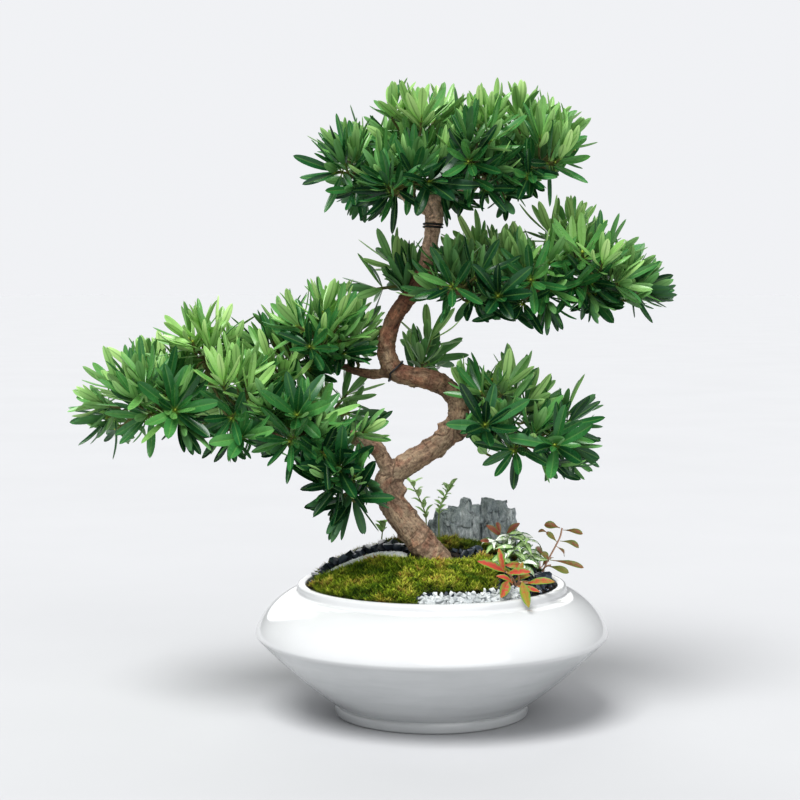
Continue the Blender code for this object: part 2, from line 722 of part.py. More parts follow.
def make_trunk(paths, finish):
    shapes = [branch_shape(name, path) for name, path in paths.items()]
    join_shapes("trunk", shapes, finish, 50)


def along_path(path, place):
    """Centre, radius and direction at a place along a path, given in steps of the path."""
    index = min(int(place), len(path) - 2)
    part = place - index
    start, end = path[index], path[index + 1]
    centre = start[0].lerp(end[0], part)
    radius = start[1] + (end[1] - start[1]) * part
    behind = path[max(index - 1, 0)][0]
    ahead = path[min(index + 2, len(path) - 1)][0]
    return centre, radius, (ahead - behind).normalized()


def wire_turns(path, place, span, turns):
    """The route of a wire wound round a branch, clear of its bark, over a span of the path."""
    steps = WIRE_STEPS * turns
    points = []
    for k in range(steps + 1):
        centre, radius, axis = along_path(path, place + span * (k / steps - 0.5))
        side = (WIRE_START - axis * WIRE_START.dot(axis)).normalized()
        other = axis.cross(side)
        angle = math.tau * k / WIRE_STEPS
        outward = side * math.cos(angle) + other * math.sin(angle)
        points.append((centre + outward * (radius + WIRE_RADIUS + 3 * GAP), WIRE_RADIUS))
    return points


def make_wires(paths, finish):
    for name, (place, span, turns) in WIRES.items():
        add_object(name, tube(wire_turns(paths["trunk"], place, span, turns), 5), finish, 60)


def leaf_hull(leaf, grow=0.0):
    """A closed shape round a leaf past its root, to test the room that it needs."""
    root, tip, face_up, width, thickness, bend = leaf
    further = tip + (tip - root).normalized() * (5 * grow)
    left, right, keel, end = leaf_frame((root, further, face_up, width + 3 * grow,
                                         thickness + 2.5 * grow, bend))
    middle = (left + right) / 2
    up = (middle - keel).normalized() * grow
    neck = root.lerp(middle, HULL_NECK)
    half = (right - left).normalized() * (LEAF_NECK / 2 + grow)
    corners = [neck - half + up, neck + half + up, neck + (keel - middle) * 0.7, left + up, right + up,
               keel, end + up]
    faces = [(1, 0, 2), (1, 3, 0), (1, 4, 3), (2, 4, 1), (2, 5, 4), (0, 5, 2), (0, 3, 5),
             (4, 6, 3), (3, 6, 5), (5, 6, 4)]
    return corners, faces


class Room:
    """The shapes placed so far, to keep leaves of different sprays apart."""

    def __init__(self):
        self.items = []

    def add(self, owner, shape):
        corners, faces = shape
        centre = sum(corners, Vector()) / len(corners)
        reach = max((corner - centre).length for corner in corners)
        self.items.append((owner, centre, reach, BVHTree.FromPolygons(corners, faces)))

    def is_free(self, owner, shape, wide_shape):
        """Whether a leaf clears its own spray, and all of the others by the gap."""
        corners = wide_shape[0]
        centre = sum(corners, Vector()) / len(corners)
        reach = max((corner - centre).length for corner in corners)
        plain = None
        wide = None
        for other, place, size, tree in self.items:
            if (place - centre).length > reach + size:
                continue
            if other == owner:
                if plain is None:
                    plain = BVHTree.FromPolygons(*shape)
                if plain.overlap(tree):
                    return False
            else:
                if wide is None:
                    wide = BVHTree.FromPolygons(*wide_shape)
                if wide.overlap(tree):
                    return False
        return True


def spray_twig(path, place, centre, aim):
    """A side twig from the bark of its branch to the spray's centre, where it runs along aim."""
    index = min(len(path) - 1, round(place * (len(path) - 1)))
    start, radius = path[index]
    behind = path[index - 1][0]
    ahead = path[min(index + 1, len(path) - 1)][0]
    tangent = (ahead - behind).normalized()
    if index == len(path) - 1:
        out = tangent
        root = start + out * GAP
    else:
        way = centre - start
        out = (way - tangent * way.dot(tangent)).normalized()
        root = start + out * (radius + GAP)
    first = root + out * TWIG_STRAIGHT
    pull = TWIG_PULL * (centre - first).length
    leave = first + out * pull
    arrive = centre - aim * pull
    points = [(root, TWIG_RADIUS), (first, TWIG_RADIUS)]
    for t in TWIG_CUTS:
        spot = (first * (1 - t) ** 3 + leave * (3 * t * (1 - t) ** 2)
                + arrive * (3 * t * t * (1 - t)) + centre * t ** 3)
        points.append((spot, TWIG_RADIUS + (SHOOT_RADIUS - TWIG_RADIUS) * t))
    return points


def shoot_path(centre, lean, number, rng):
    """One of a spray's shoots, with two short rows for leaves, and the way it points."""
    axis = lean.normalized()
    side = axis.orthogonal().normalized()
    other = axis.cross(side)
    angle = rng.uniform(-SHOOT_SWAY, SHOOT_SWAY) + number * SHOOT_TURN
    outward = side * math.cos(angle) + other * math.sin(angle)
    aim = (axis + outward * SHOOT_SPREAD + Vector((0, 0, SHOOT_RISE))).normalized()
    tip = centre + aim * (SHOOT_LENGTH * rng.uniform(*SHOOT_LENGTHS))
    return [(tip - aim * back, SHOOT_RADIUS, twist) for back, twist in SHOOT_RINGS], aim


def place_leaves(rings, rows, owner, room, rng):
    """Leaves on the faces of a shoot's rows, each where there is room for it."""
    leaves = {}
    for row, (segment, opening) in enumerate(rows):
        for k in range(SHOOT_SIDES):
            root, outward, axis = seat(rings, segment, k)
            for attempt in range(LEAF_TRIES):
                loose = FIRST_STRAY + ADDED_STRAY * attempt
                stray = Vector([rng.uniform(-loose, loose) for _ in range(3)])
                open_angle = math.radians(opening + rng.uniform(-OPENING_SWAY, OPENING_SWAY))
                aim = axis * math.cos(open_angle) + outward * math.sin(open_angle) + stray
                length = LEAF_LENGTH * rng.uniform(*LEAF_LENGTHS)
                width = LEAF_WIDTH * rng.uniform(*LEAF_WIDTHS)
                face_up = axis + Vector((0, 0, 0.2)) - outward * 0.2
                leaf = (root, root + aim.normalized() * length, face_up, width, LEAF_THICKNESS,
                        rng.uniform(*LEAF_BENDS))
                if crosses_itself(rings, segment, k, leaf):
                    continue
                if room.is_free(owner, leaf_hull(leaf), leaf_hull(leaf, GAP)):
                    room.add(owner, leaf_hull(leaf))
                    leaves[(segment, k)] = leaf
                    break
    return leaves


def grow_foliage(paths):
    """Every spray as its shoots' rings with their leaves, none of them in another's way."""
    room = Room()
    for name, path in paths.items():
        room.add("trunk", branch_shape(name, path))
    sprays = {}
    for seed, (name, (branch, place, centre, lean)) in enumerate(SPRAYS.items()):
        rng = random.Random(seed)
        centre = Vector(centre)
        shoots = []
        for number in range(SHOOTS_PER_SPRAY):
            shoot, aim = shoot_path(centre, Vector(lean), number, rng)
            if number == 0:
                shoot = spray_twig(paths[branch], place, centre, aim) + shoot
            else:
                shoot = [(centre - aim * 0.5, SHOOT_RADIUS * 0.9)] + shoot
            rings = tube_rings(shoot, SHOOT_SIDES)
            room.add(name, leafy_shape(rings, {}))
            shoots.append(rings)
        sprays[name] = shoots
    foliage = {}
    for seed, (name, shoots) in enumerate(sprays.items()):
        rng = random.Random(100 + seed)
        foliage[name] = []
        for rings in shoots:
            top = len(rings) - 2
            rows = [(top - 2, LOW_ROW_OPENING), (top, TOP_ROW_OPENING)]
            foliage[name].append((rings, place_leaves(rings, rows, name, room, rng)))
    return foliage


def make_foliage(paths, finish):
    for name, shoots in grow_foliage(paths).items():
        shapes = [leafy_shape(rings, leaves) for rings, leaves in shoots]
        join_shapes("spray_" + name, shapes, finish)


def stem_foot(spot):
    """The foot of a small plant, down in its hole."""
    x, y = spot
    return (x, y, ground(x, y) - STEM_HOLE_DEPTH + GAP)


def leafy_stem(points, radius, leaves, sides=5):
    """A thin stem through a few points, with leaves that reach out at places from 0 to 1."""
    fine = smooth_path([(*point, radius) for point in points], STEM_STEPS)
    steps = len(fine) - 1
    half = LEAF_SEAT / 2 / sum((b[0] - a[0]).length for a, b in zip(fine, fine[1:]))
    cuts = {k / (len(points) - 1) for k in range(len(points))}
    seats = {place - half for place, reach, width in leaves}
    seats |= {place + half for place, reach, width in leaves}
    cuts = {cut for cut in cuts if all(abs(cut - end) > 2 * half for end in seats)}
    cuts = sorted(cuts | seats | {0.0, 1.0})
    centres = [along_path(fine, min(cut, 1.0) * steps)[0] for cut in cuts]
    rings = tube_rings([(centre, radius * (1 - 0.3 * cut)) for centre, cut in zip(centres, cuts)], sides)
    grown = {}
    for place, reach, width in leaves:
        segment = cuts.index(place - half)
        reach = Vector(reach)
        best = max(range(sides), key=lambda k: seat(rings, segment, k)[1].dot(reach))
        root, outward, axis = seat(rings, segment, best)
        for pull in SEAT_PULLS:
            face_up = SMALL_LEAF_UP + axis * pull
            leaf = (root, root + reach, face_up, width, 1.0, 1.0)
            if not crosses_itself(rings, segment, best, leaf):
                break
        grown[(segment, best)] = leaf
    return leafy_shape(rings, grown)


def make_red_plant(finish):
    """Short stems low in the front right, each with its pointed leaf or two."""
    x, y = RED_PLANT
    main = [stem_foot(RED_PLANT), (x, y, 116), (x - 1, y, 125), (59, -57, 136)]
    shapes = [leafy_stem(main, 1.6, [(0.97, (-3, -5, 15), 6), (0.85, (-20, -4, 6), 7)])]
    side_stems = [
        ([(x, y, 123), (72, -63, 128)], [(0.93, (15, -6, 3), 7)]),
        ([(x - 0.4, y, 120), (78, -60, 124)], [(0.94, (20, -3, -1), 7.5)]),
        ([(x, y + 0.3, 121.5), (62, -67, 123)], [(0.93, (-5, -15, -6), 8)]),
        ([(x, y, 118.5), (72, -75, 121.5)], [(0.95, (6, -19, -14), 8)]),
        ([(x, y - 0.4, 124), (70, -47, 134)], [(0.94, (12, 9, 8), 6.5), (0.70, (-13, 4, 6), 6.5)]),
    ]
    for points, leaves in side_stems:
        shapes.append(leafy_stem(points, 1.0, leaves, 4))
    join_shapes("red_plant", shapes, finish, solver="MANIFOLD")


def make_variegated_plant(finish):
    """A small bush of white and green leaves, in two pairs on each of four stems."""
    x, y = VARIEGATED_PLANT
    tops = [(54, -14, 154), (68, -20, 150), (79, -6, 149), (65, 6, 156)]
    shapes = []
    for number, (u, v, height) in enumerate(tops):
        leaves = []
        for k in range(4):
            angle = math.atan2(v - y, u - x) + (0.0, 3.1, 1.5, -1.5)[k]
            rise = (4.0, 5.0, 1.0, 1.0)[k]
            reach = (13.0 * math.cos(angle), 13.0 * math.sin(angle), rise)
            leaves.append((0.95 - 0.14 * (k // 2), reach, 6.0))
        if number == 0:
            points = [stem_foot(VARIEGATED_PLANT), (x, y, 131), (u, v, height)]
            shapes.append(leafy_stem(points, 1.5, leaves, 5))
        else:
            low = (x + 0.05 * (u - x), y + 0.05 * (v - y), 128.5 + number)
            shapes.append(leafy_stem([low, (u, v, height)], 1.1, leaves, 4))
    join_shapes("variegated_plant", shapes, finish, solver="MANIFOLD")


def make_tall_plant(finish):
    """One reddish stem at the right rim, with leaves in pairs to its top."""
    stem = [stem_foot(TALL_PLANT), (93, 8, 118), (98, 8, 130), (106, 8, 143), (110, 8, 156)]
    leaves = [(0.97, (-13, -3, 4), 6), (0.97, (17, 0, -2), 6), (0.88, (-14, 4, 3), 5),
              (0.80, (18, -2, -3), 6.5), (0.70, (-9, 16, 4), 6), (0.61, (27, -4, -5), 7),
              (0.52, (5, 18, 2), 7), (0.43, (18, -14, -2), 7)]
    add_object("tall_plant", leafy_stem(stem, 1.4, leaves), finish)


def make_sprigs(finish):
    """Thin upright sprigs, with small leaves in pairs up the stem."""
    for number, (name, points) in enumerate(SPRIGS.items()):
        x, y = points[0][:2]
        base = ground(x, y)
        stem = [stem_foot((x, y))] + [(px, py, base + pz) for px, py, pz in points]
        leaves = []
        for k in range(SPRIG_PAIRS[name]):
            for turn in (0.0, math.pi):
                angle = turn + k * math.pi / 2 + SPRIG_TURN * number
                reach = Vector((math.cos(angle), math.sin(angle), 0.6)).normalized() * 10.5
                leaves.append((0.97 - 0.1 * k, reach, 4.2))
        add_object(name, leafy_stem(stem, 1.2, leaves, 4), finish)


def main():
    clear_scene()
    porcelain = material("porcelain", (0.86, 0.87, 0.87), 0.12)
    net = material("drain_net", (0.03, 0.03, 0.03), 0.6)
    earth = material("soil", (0.05, 0.035, 0.025), 0.95)
    moss = material("moss", (0.13, 0.19, 0.02), 0.95)
    white_stone = material("white_stone", (0.72, 0.73, 0.72), 0.85)
    slate = material("dark_slate", (0.035, 0.04, 0.05), 0.45)
    grey_rock = material("grey_rock", (0.20, 0.22, 0.24), 0.85)
    bark = material("bark", (0.25, 0.16, 0.11), 0.85)
    wire = material("dark_wire", (0.03, 0.03, 0.03), 0.45)
    pine_leaf = material("pine_leaf", (0.05, 0.20, 0.05), 0.4)
    red_leaf = material("red_leaf", (0.42, 0.16, 0.09), 0.45)
    pale_leaf = material("variegated_leaf", (0.38, 0.52, 0.26), 0.45)
    sprig_leaf = material("sprig_leaf", (0.11, 0.26, 0.08), 0.5)
    make_pot(porcelain)
    make_drain_mesh(net)
    make_soil(earth)
    make_moss(moss)
    make_sand(white_stone)
    make_gravel(white_stone)
    make_slates(slate)
    make_rocks(grey_rock)
    paths = branch_paths()
    make_trunk(paths, bark)
    make_wires(paths, wire)
    make_foliage(paths, pine_leaf)
    make_red_plant(red_leaf)
    make_variegated_plant(pale_leaf)
    make_tall_plant(red_leaf)
    make_sprigs(sprig_leaf)


main()
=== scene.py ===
"""The looks of a buddhist pine bonsai in a round white pot.

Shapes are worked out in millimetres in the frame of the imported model, and scaled to metres as each
mesh is made. The foliage grows by the same rule as the solids, and then more of it is added.
"""
import math
import random

import bmesh
import bpy
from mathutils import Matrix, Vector, noise
from mathutils.bvhtree import BVHTree
from mathutils.geometry import delaunay_2d_cdt
from mathutils.kdtree import KDTree


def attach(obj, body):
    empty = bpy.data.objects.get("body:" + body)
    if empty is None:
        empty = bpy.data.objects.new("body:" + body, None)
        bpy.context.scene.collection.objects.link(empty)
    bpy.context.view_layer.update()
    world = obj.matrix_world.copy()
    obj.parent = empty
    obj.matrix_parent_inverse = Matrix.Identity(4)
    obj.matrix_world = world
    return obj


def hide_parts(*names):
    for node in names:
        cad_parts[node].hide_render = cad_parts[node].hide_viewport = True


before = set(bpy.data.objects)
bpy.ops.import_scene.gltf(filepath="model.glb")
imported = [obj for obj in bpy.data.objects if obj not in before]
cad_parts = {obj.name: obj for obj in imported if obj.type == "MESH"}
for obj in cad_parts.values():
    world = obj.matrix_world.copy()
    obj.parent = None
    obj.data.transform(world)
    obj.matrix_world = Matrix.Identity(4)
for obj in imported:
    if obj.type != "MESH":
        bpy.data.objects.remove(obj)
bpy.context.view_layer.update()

MM = 0.001
UP = Vector((0, 0, 1))
GOLDEN_TURN = 2.4
NOISE_SEED = 42
noise.seed_set(NOISE_SEED)

# Seeds of the random draws, by what they are for
SEEDS = {"leaves": 100, "facing": 500, "chosen": 700, "more": 900, "tints": 2000, "moss_front": 21,
         "moss_back": 22, "gravel": 31, "litter": 41, "sand": 37, "slates": 4, "rocks": 11,
         "red_plant": 61, "variegated_plant": 62, "tall_plant": 63, "sprigs": 64}


def arc(radius, start, end, steps):
    """Points round the pot's axis, with the angles in degrees."""
    angles = [math.radians(start + (end - start) * k / steps) for k in range(steps + 1)]
    return [(radius * math.cos(angle), radius * math.sin(angle)) for angle in angles]


# Camera, with its place in millimetres, and the picture's size
CAMERA_PLACE = Vector((-27, -1550, 370))
CAMERA_PITCH = math.radians(3.8)
CAMERA_LENS = 82.5
SENSOR_WIDTH = 36.0
PICTURE_WIDTH = 800

# Pot, with the corners of its outline as steps out and up from its foot, ridge, collar and mouth
POT_SIDES = 160
RIDGE_RADIUS = 150.0
RIDGE_HEIGHT = 70.0
FOOT_RADIUS = 83.0
FOOT_HEIGHT = 9.5
COLLAR_RADIUS = 114.5
COLLAR_HEIGHT = 105.0
POT_HEIGHT = 112.0
MOUTH_RADIUS = 106.5
FLOOR_THICKNESS = 14.0
UNDERSIDE = [(0, 0), (FOOT_RADIUS - 2.5, 0), (FOOT_RADIUS - 0.7, 0.6), (FOOT_RADIUS, 2.0)]
FOOT_GROOVE = [(0.0, -1.4), (-0.3, -0.7), (-0.7, -0.4), (-0.7, 0.1), (0.2, 0.4)]
WALL_LOW = (1.5, 1.0)
WALL_HIGH = (-1.7, -3.2)
WALL_STEPS = 14
WALL_BULGE = 2.8
RIDGE_CURVE = [(-1.1, -2.5), (-0.55, -1.7), (-0.15, -0.8)]
SHOULDER_POWER = 1.5
SHOULDER_STEPS = 14
SHOULDER_REACH = RIDGE_RADIUS - COLLAR_RADIUS - 1.5
COLLAR_CURVE = [(0.2, 0.8), (0.0, 2.0)]
OUTER_LIP = [(0.0, -2.2), (-0.8, -0.6), (-2.4, 0.0)]
INNER_LIP = [(2.4, 0.0), (0.7, -0.6), (0.0, -2.2)]
POT_INSIDE = [(MOUTH_RADIUS, 101), (126, 91), (141, 72), (141, 67), (77, FLOOR_THICKNESS),
              (0, FLOOR_THICKNESS)]
DRAIN_HOLES = 3
DRAIN_RADIUS = 6.0
DRAIN_RING_RADIUS = 45.0
DRAIN_SIDES = 32

# Ground in the pot, and the outlines of what lies on it
RIM_GROUND = 107.5
MOUND_HEIGHT = 32.0
GROUND_RADIUS = 106.0
GROUND_SKEW = (0.05, 0.35)
STEM_HOLE_RADIUS = 2.6
STEM_HOLE_DEPTH = 12.0
STEM_HOLE_SIDES = 6
GAP = 0.3
MOSS_FRONT = arc(104, 188, 262, 9) + [
    (-12, -87), (10, -87), (32, -82), (46, -75), (54, -64), (50, -52), (57, -38), (53, -24),
    (44, -14), (37, -18), (33, -32), (14, -38), (-6, -38), (-20, -31), (-40, -20), (-62, -15),
    (-86, -15)]
MOSS_BACK = arc(104, 16, 168, 16) + [
    (-88, 21), (-76, 22), (-60, 25), (-46, 22), (-34, 18), (-24, 10), (-12, 0), (3, -6),
    (18, -4), (28, 0), (40, 6), (56, 9), (70, 11), (84, 19)]
ROCK_BED = [(-10, 33), (20, 29), (44, 28), (79, 30), (84, 44), (78, 62), (30, 65), (-7, 60)]
SAND = [(-97, -9), (-84, -11), (-62, -11), (-41, -16), (-22, -25), (-20, -14), (-36, -2),
        (-50, 5), (-66, 6), (-84, 5), (-95, -4)]
GRAVEL = arc(104, 263.5, 319, 12) + arc(90, 319, 263.5, 10)
TRUNK_FOOT = [(-22, -36), (20, -36), (28, -12), (0, -4), (-14, -12)]
OPEN_GROUND = arc(103, 0, 354, 59)

# Moss: its cell, its cushion's pillows, and its shoots with their blades
MOSS_CELL = 4.0
PILLOW_SCALE = 0.075
PILLOW_HEIGHT = 1.3
SWELL_SCALE = 0.22
MOSS_EDGE_HEIGHT = 1.2
MOSS_RISE = 2.0
MOSS_HEIGHTS = (1.2, 4.8)
MOSS_BLADES = 7
MOSS_BLADE_LENGTHS = (2.8, 6.0)
MOSS_BLADE_HALF = 0.46
MOSS_BLADE_DEPTH = 0.5
MOSS_STRAYS = 260
MOSS_STRAY_REACH = 3.5
MOSS_COUNTS = {"moss_front": 3600, "moss_back": 4200}
MOSS_SWELL_REACH = 5.0
MOSS_RISE_REACH = 9.0
MOSS_ROOT = 0.6
MOSS_PATCH_SCALES = (0.06, 0.15)
MOSS_PATCH_MIX = 0.7
MOSS_PATCH_RISE = 0.4
MOSS_EDGE_PART = 0.45
MOSS_LEAN_SCALE = 0.2
MOSS_LEAN = 1.3
MOSS_LEAN_SWAY = 0.25
MOSS_TINT = 0.38
MOSS_PATCH_TINT = 0.6
MOSS_TINT_SWAY = 0.2

# Along a moss shoot: its blades' place, rise and brightness, as the lowest value and the span; the
# brightness is painted shade, darker on the low blades and lighter higher up
MOSS_BLADE_SPANS = ((0.25, 0.75), (0.35, 0.9), (0.2, 0.6))

# Gravel, sand, dark chips and crumbs: lift or size, spacing and number of the grains
GRAVEL_CELL = 5.0
GRAVEL_HEIGHT = 1.4
GRAVEL_ROUNDS = ((1.6, 3.4, 230), (3.6, 5.0, 90))
GRAVEL_SIZES = (1.5, 3.3)
GRAVEL_FLATS = (0.5, 0.9)
SAND_CELL = 1.8
SAND_HEIGHT = 1.9
SAND_NOISES = ((2, 0.9, 0.35), (4, 0.2, 0.5))
SAND_EDGE = 4
SAND_SLOPE = 0.65
SAND_GRAINS = 700
SAND_SPACING = 1.4
SAND_SIZES = (0.35, 0.75)
SHARD_SIZES = (1.4, 3.6)
SHARD_LIFT = 0.4
SHARD_FLAT = 0.6
SHARD_SPACING = 3.0
SHARDS = 330
CRUMB_LIFT = 0.4
CRUMB_SIZES = (0.5, 1.2)
CRUMB_SPACING = 1.2
CRUMBS = 900
CHIP_CORNERS = 11
CHIP_SPREAD = (0.8, 1.15)

# Slate pebbles with their places and sizes, each broken into a few parts
SLATES = {
    "slate_left": [(-97, 4, 7.0), (-90, 11, 7.8), (-81.5, 14.5, 8.0), (-72, 16, 8.6),
                   (-62, 17, 8.4), (-52.5, 16, 8.4), (-43.5, 12.5, 8.2), (-35, 7.5, 8.0),
                   (-28, 1, 7.4)],
    "slate_trunk": [(27.5, -22, 5.6), (31, -14, 6.8), (38.5, -7.5, 6.6)],
    "slate_rim": [(96, -6, 7.4), (95, -16, 7.4), (90.5, -25, 7.6)],
}
SLATE_PARTS = (1.05, 0.7, 0.5)
SLATE_CORNERS = 17
SLATE_FLATS = (0.5, 0.7)
SLATE_SCATTER = 0.55
SLATE_SIZES = (0.85, 1.1)
SLATE_TILT = 0.6
SLATE_LIFT = 0.5
SLATE_STEP = 0.3

# Rocks: middle, half widths and top of each upright slab, and the relief of the skin round them
ROCKS = {
    "rock_left": [(4, 45, 9, 11, 160), (12, 44, 10, 13, 170), (21, 44, 10, 13, 172.5),
                  (30, 44, 6.5, 12, 181), (38, 46, 8.5, 12, 173)],
    "rock_right": [(51, 45, 9.5, 12, 178.5), (60, 46, 10, 12, 178), (68, 45, 8, 11, 171)],
}
SLAB_SIDES = 7
SLAB_LEVELS = [(0.0, 1.0), (0.7, 0.97), (1.0, 0.74)]
SLAB_WOBBLE = (0.86, 1.1)
SLAB_SWAY = (0.95, 1.05)
SLAB_LIFT = 0.2
SLAB_DROP = 3.5
ROCK_VOXEL = 0.9
ROCK_ROUNDS = 9
PLATE_SLANT = 0.35
PLATE_DIP = 0.12
PLATE_STRETCH = (0.8, 0.42)
PLATE_SCALE = 0.10
PLATE_WARP = (0.08, 0.35)
PLATE_MIX = 9.7
PLATE_RELIEF = 1.6
CRACK_RELIEF = 1.0
CRACK_WIDTH = 0.16
CHIP_SCALE = 0.22
CHIP_NOISE = (0.9, 2.0, 4)
CHIP_RELIEF = 0.6
TOP_CALM = 0.75

# Pine leaves and shoots, as in the solids
LEAF_LENGTH = 34.0
LEAF_WIDTH = 8.0
LEAF_THICKNESS = 1.1
LEAF_WIDEST = 0.58
LEAF_NECK = 2.5
TOP_ROW_OPENING = 30
LOW_ROW_OPENING = 66
SHOOT_LENGTH = 23.0
SHOOTS_PER_SPRAY = 2
LEAF_TRIES = 14
TWIG_RADIUS = 2.1
SHOOT_RADIUS = 1.9
SHOOT_SIDES = 5
SHOOT_RINGS = [(8.0, 0.0), (6.4, 0.0), (1.6, 0.5), (0.0, 0.5)]
SHOOT_SPREAD = 0.75
SHOOT_TURN = math.radians(156)
SHOOT_SWAY = 0.5
SHOOT_RISE = 0.1
SHOOT_LENGTHS = (0.9, 1.15)
TWIG_STRAIGHT = 2.5
CURVE_PULL = 0.4
TWIG_CUTS = (0.5, 1.0)
FIRST_STRAY = 0.08
ADDED_STRAY = 0.05
OPENING_SWAY = 7.0
LEAF_LENGTHS = (0.86, 1.14)
LEAF_WIDTHS = (0.88, 1.1)
LEAF_BENDS = (-2.4, -0.2)
HULL_NECK = 0.08
HULL_KEEL = 0.7
HULL_GROWTH = (5, 3, 2.5)
SIDE_SHOOT_BACK = 0.5
SIDE_SHOOT_SCALE = 0.9
FACE_TILT = 0.2

# Finer leaves: how wide a leaf is at places along it, its fold, and its midrib
LEAF_OUTLINE = [(0.0, 0.17), (0.07, 0.26), (0.18, 0.56), (0.31, 0.83), (0.46, 0.98), (0.60, 1.0),
                (0.74, 0.92), (0.86, 0.72), (0.945, 0.44), (1.0, 0.0)]
SMALL_OUTLINE = [(0.0, 0.14), (0.1, 0.36), (0.26, 0.80), (0.46, 1.0), (0.66, 0.96), (0.83, 0.70),
                 (0.94, 0.34), (1.0, 0.0)]
POINTED_OUTLINE = [(0.0, 0.12), (0.1, 0.5), (0.24, 0.9), (0.4, 1.0), (0.58, 0.84), (0.76, 0.52),
                   (0.9, 0.24), (1.0, 0.0)]
OBOVATE_OUTLINE = [(0.0, 0.12), (0.16, 0.16), (0.34, 0.44), (0.52, 0.82), (0.68, 1.0), (0.82, 0.94),
                   (0.93, 0.62), (1.0, 0.0)]
BLADE_THICKNESS = 0.45
FINE_WIDTH = 0.88
SLIM_HULL = 0.55
RIB_HALF = 0.4
RIB_PART = 0.4
RING_EDGES = [1.0, 0.15, 0.0, 0.15, 1.0, 0.0]
TIP_EDGE = 0.6
RIB_DEPTH = 0.2
LEAF_FOLD = 0.2
BEND_SKEW = 1.27
ROLL_SWAY = 0.22
LEAF_INSET = 0.8
TWIG_SCALE = 0.7
SHOOT_CORNERS = 6
BUD_RADIUS = 1.1
BERRY_RADIUS = 1.9

# How young the leaves look, with painted shade low in each pad: by the place in the pad's heights,
# by the shoot's way, and by chance
PAD_HEIGHTS = {"crown": (424, 498), "right": (332, 400), "upper_left": (280, 335),
               "left": (178, 288), "low_right": (205, 282), "rear": (270, 330)}
YOUNG_START = 0.06
YOUTH_AND_SHADE_BY_HEIGHT = 0.55
YOUNG_BY_AIM = 0.22
YOUNG_SWAY = (-0.28, 0.16)
LEAF_TINT_SWAY = 0.17

# Shoots that only the finer foliage has
MORE_SHOOTS = {"crown": 9, "right": 9, "upper_left": 9, "left": 8, "low_right": 5, "rear": 5}
MORE_REACH = 36.0
HUB_SPACING = 10.5
MORE_HUBS = (0.4, 1.0)
HUB_SHIFT = 6
LEAN_PULL = 0.4
AWAY_PULL = 0.65
LOW_BELOW = -0.15
SHOWN_PART = 0.75
MORE_LENGTHS = (0.72, 1.12)
MORE_WIDTHS = (0.8, 1.08)
MORE_BENDS = (-3.4, 1.6)
BARE_SCALE = 0.8
BARE_CUTS = (0.0, 0.35, 0.7)
MORE_RINGS = [(9.6, 0.0), (8.0, 0.0), (5.6, 0.33), (4.0, 0.33), (1.6, 0.66), (0.0, 0.66)]
MORE_ROWS = [(4, 56), (2, 38), (0, 19)]
LOW_ROWS = [(2, 64), (0, 32)]
HIGH_CLIMB = 0.85
LOW_CLIMB = 0.1
PLACE_TRIES = 40
GRID_CELL = 40.0

# Berries: pixel of the photograph and depth, by spray
BERRIES = {
    "left_6": [((310, 427), -74), ((302, 440), -70)],
    "left_8": [((350, 446), -78)],
    "low_right_1": [((526, 435), -70)],
}

# Trunk and branches, as in the solids: points with the radius of the wood there
BRANCHES = {
    "trunk": [
        (9, -22, 101, 10.5), (9, -22, 118, 11.0), (5, -22, 132, 11.5), (-6, -20, 147.5, 11.0),
        (-23, -16, 171, 10.2), (-34, -13, 191, 9.4), (-34.5, -12, 207, 9.0), (-19, -9, 217.5, 8.4),
        (4, -4, 231.5, 8.2), (19, -1, 243.5, 8.4), (23, 2, 259, 8.0), (16, 3, 274.5, 8.0),
        (1.5, 4, 283.5, 8.0), (-17, 5, 287, 8.2), (-32, 6, 292, 8.4), (-39, 6, 306.5, 7.4),
        (-36.5, 5, 325, 6.8), (-28, 4, 343, 6.6), (-14.5, 3, 360, 6.6), (-5, 1, 380, 6.2),
        (-1, 0, 401, 6.2), (1.7, 0, 422.5, 7.4), (2.6, 0, 440, 9.0)],
    "left": [
        (-34.5, -12, 203, 7.5), (-45.5, -16, 226, 6.2), (-59, -20, 235, 5.6), (-81, -22, 239, 5.0),
        (-110, -20, 241, 4.6), (-144, -16, 242, 4.2), (-174, -12, 247, 3.8), (-203, -10, 252, 3.2),
        (-233, -8, 255, 2.6)],
    "upper_left": [
        (-34, 6, 290, 5.0), (-54, 12, 289, 3.8), (-74, 15, 294, 3.2), (-92, 16, 302, 2.6)],
    "right": [
        (-12, 4, 362, 5.5), (7, 2, 361.5, 4.6), (36, 0, 358, 4.2), (70, -4, 359, 3.8),
        (103, -6, 363, 3.2), (136, -4, 366, 2.6)],
    "low_right": [(20, -1, 241, 5.5), (38, -8, 240, 4.2), (56, -14, 240, 3.4), (72, -15, 240, 2.6)],
    "crown_left": [(1, 0, 424, 4.5), (-18, -3, 436, 3.4), (-38, -6, 446, 2.6)],
    "crown_right": [(2, 0, 424, 4.8), (24, 0, 441, 3.8), (48, -2, 454, 3.0), (64, -3, 459, 2.4)],
}
CURVE_STEPS = 2

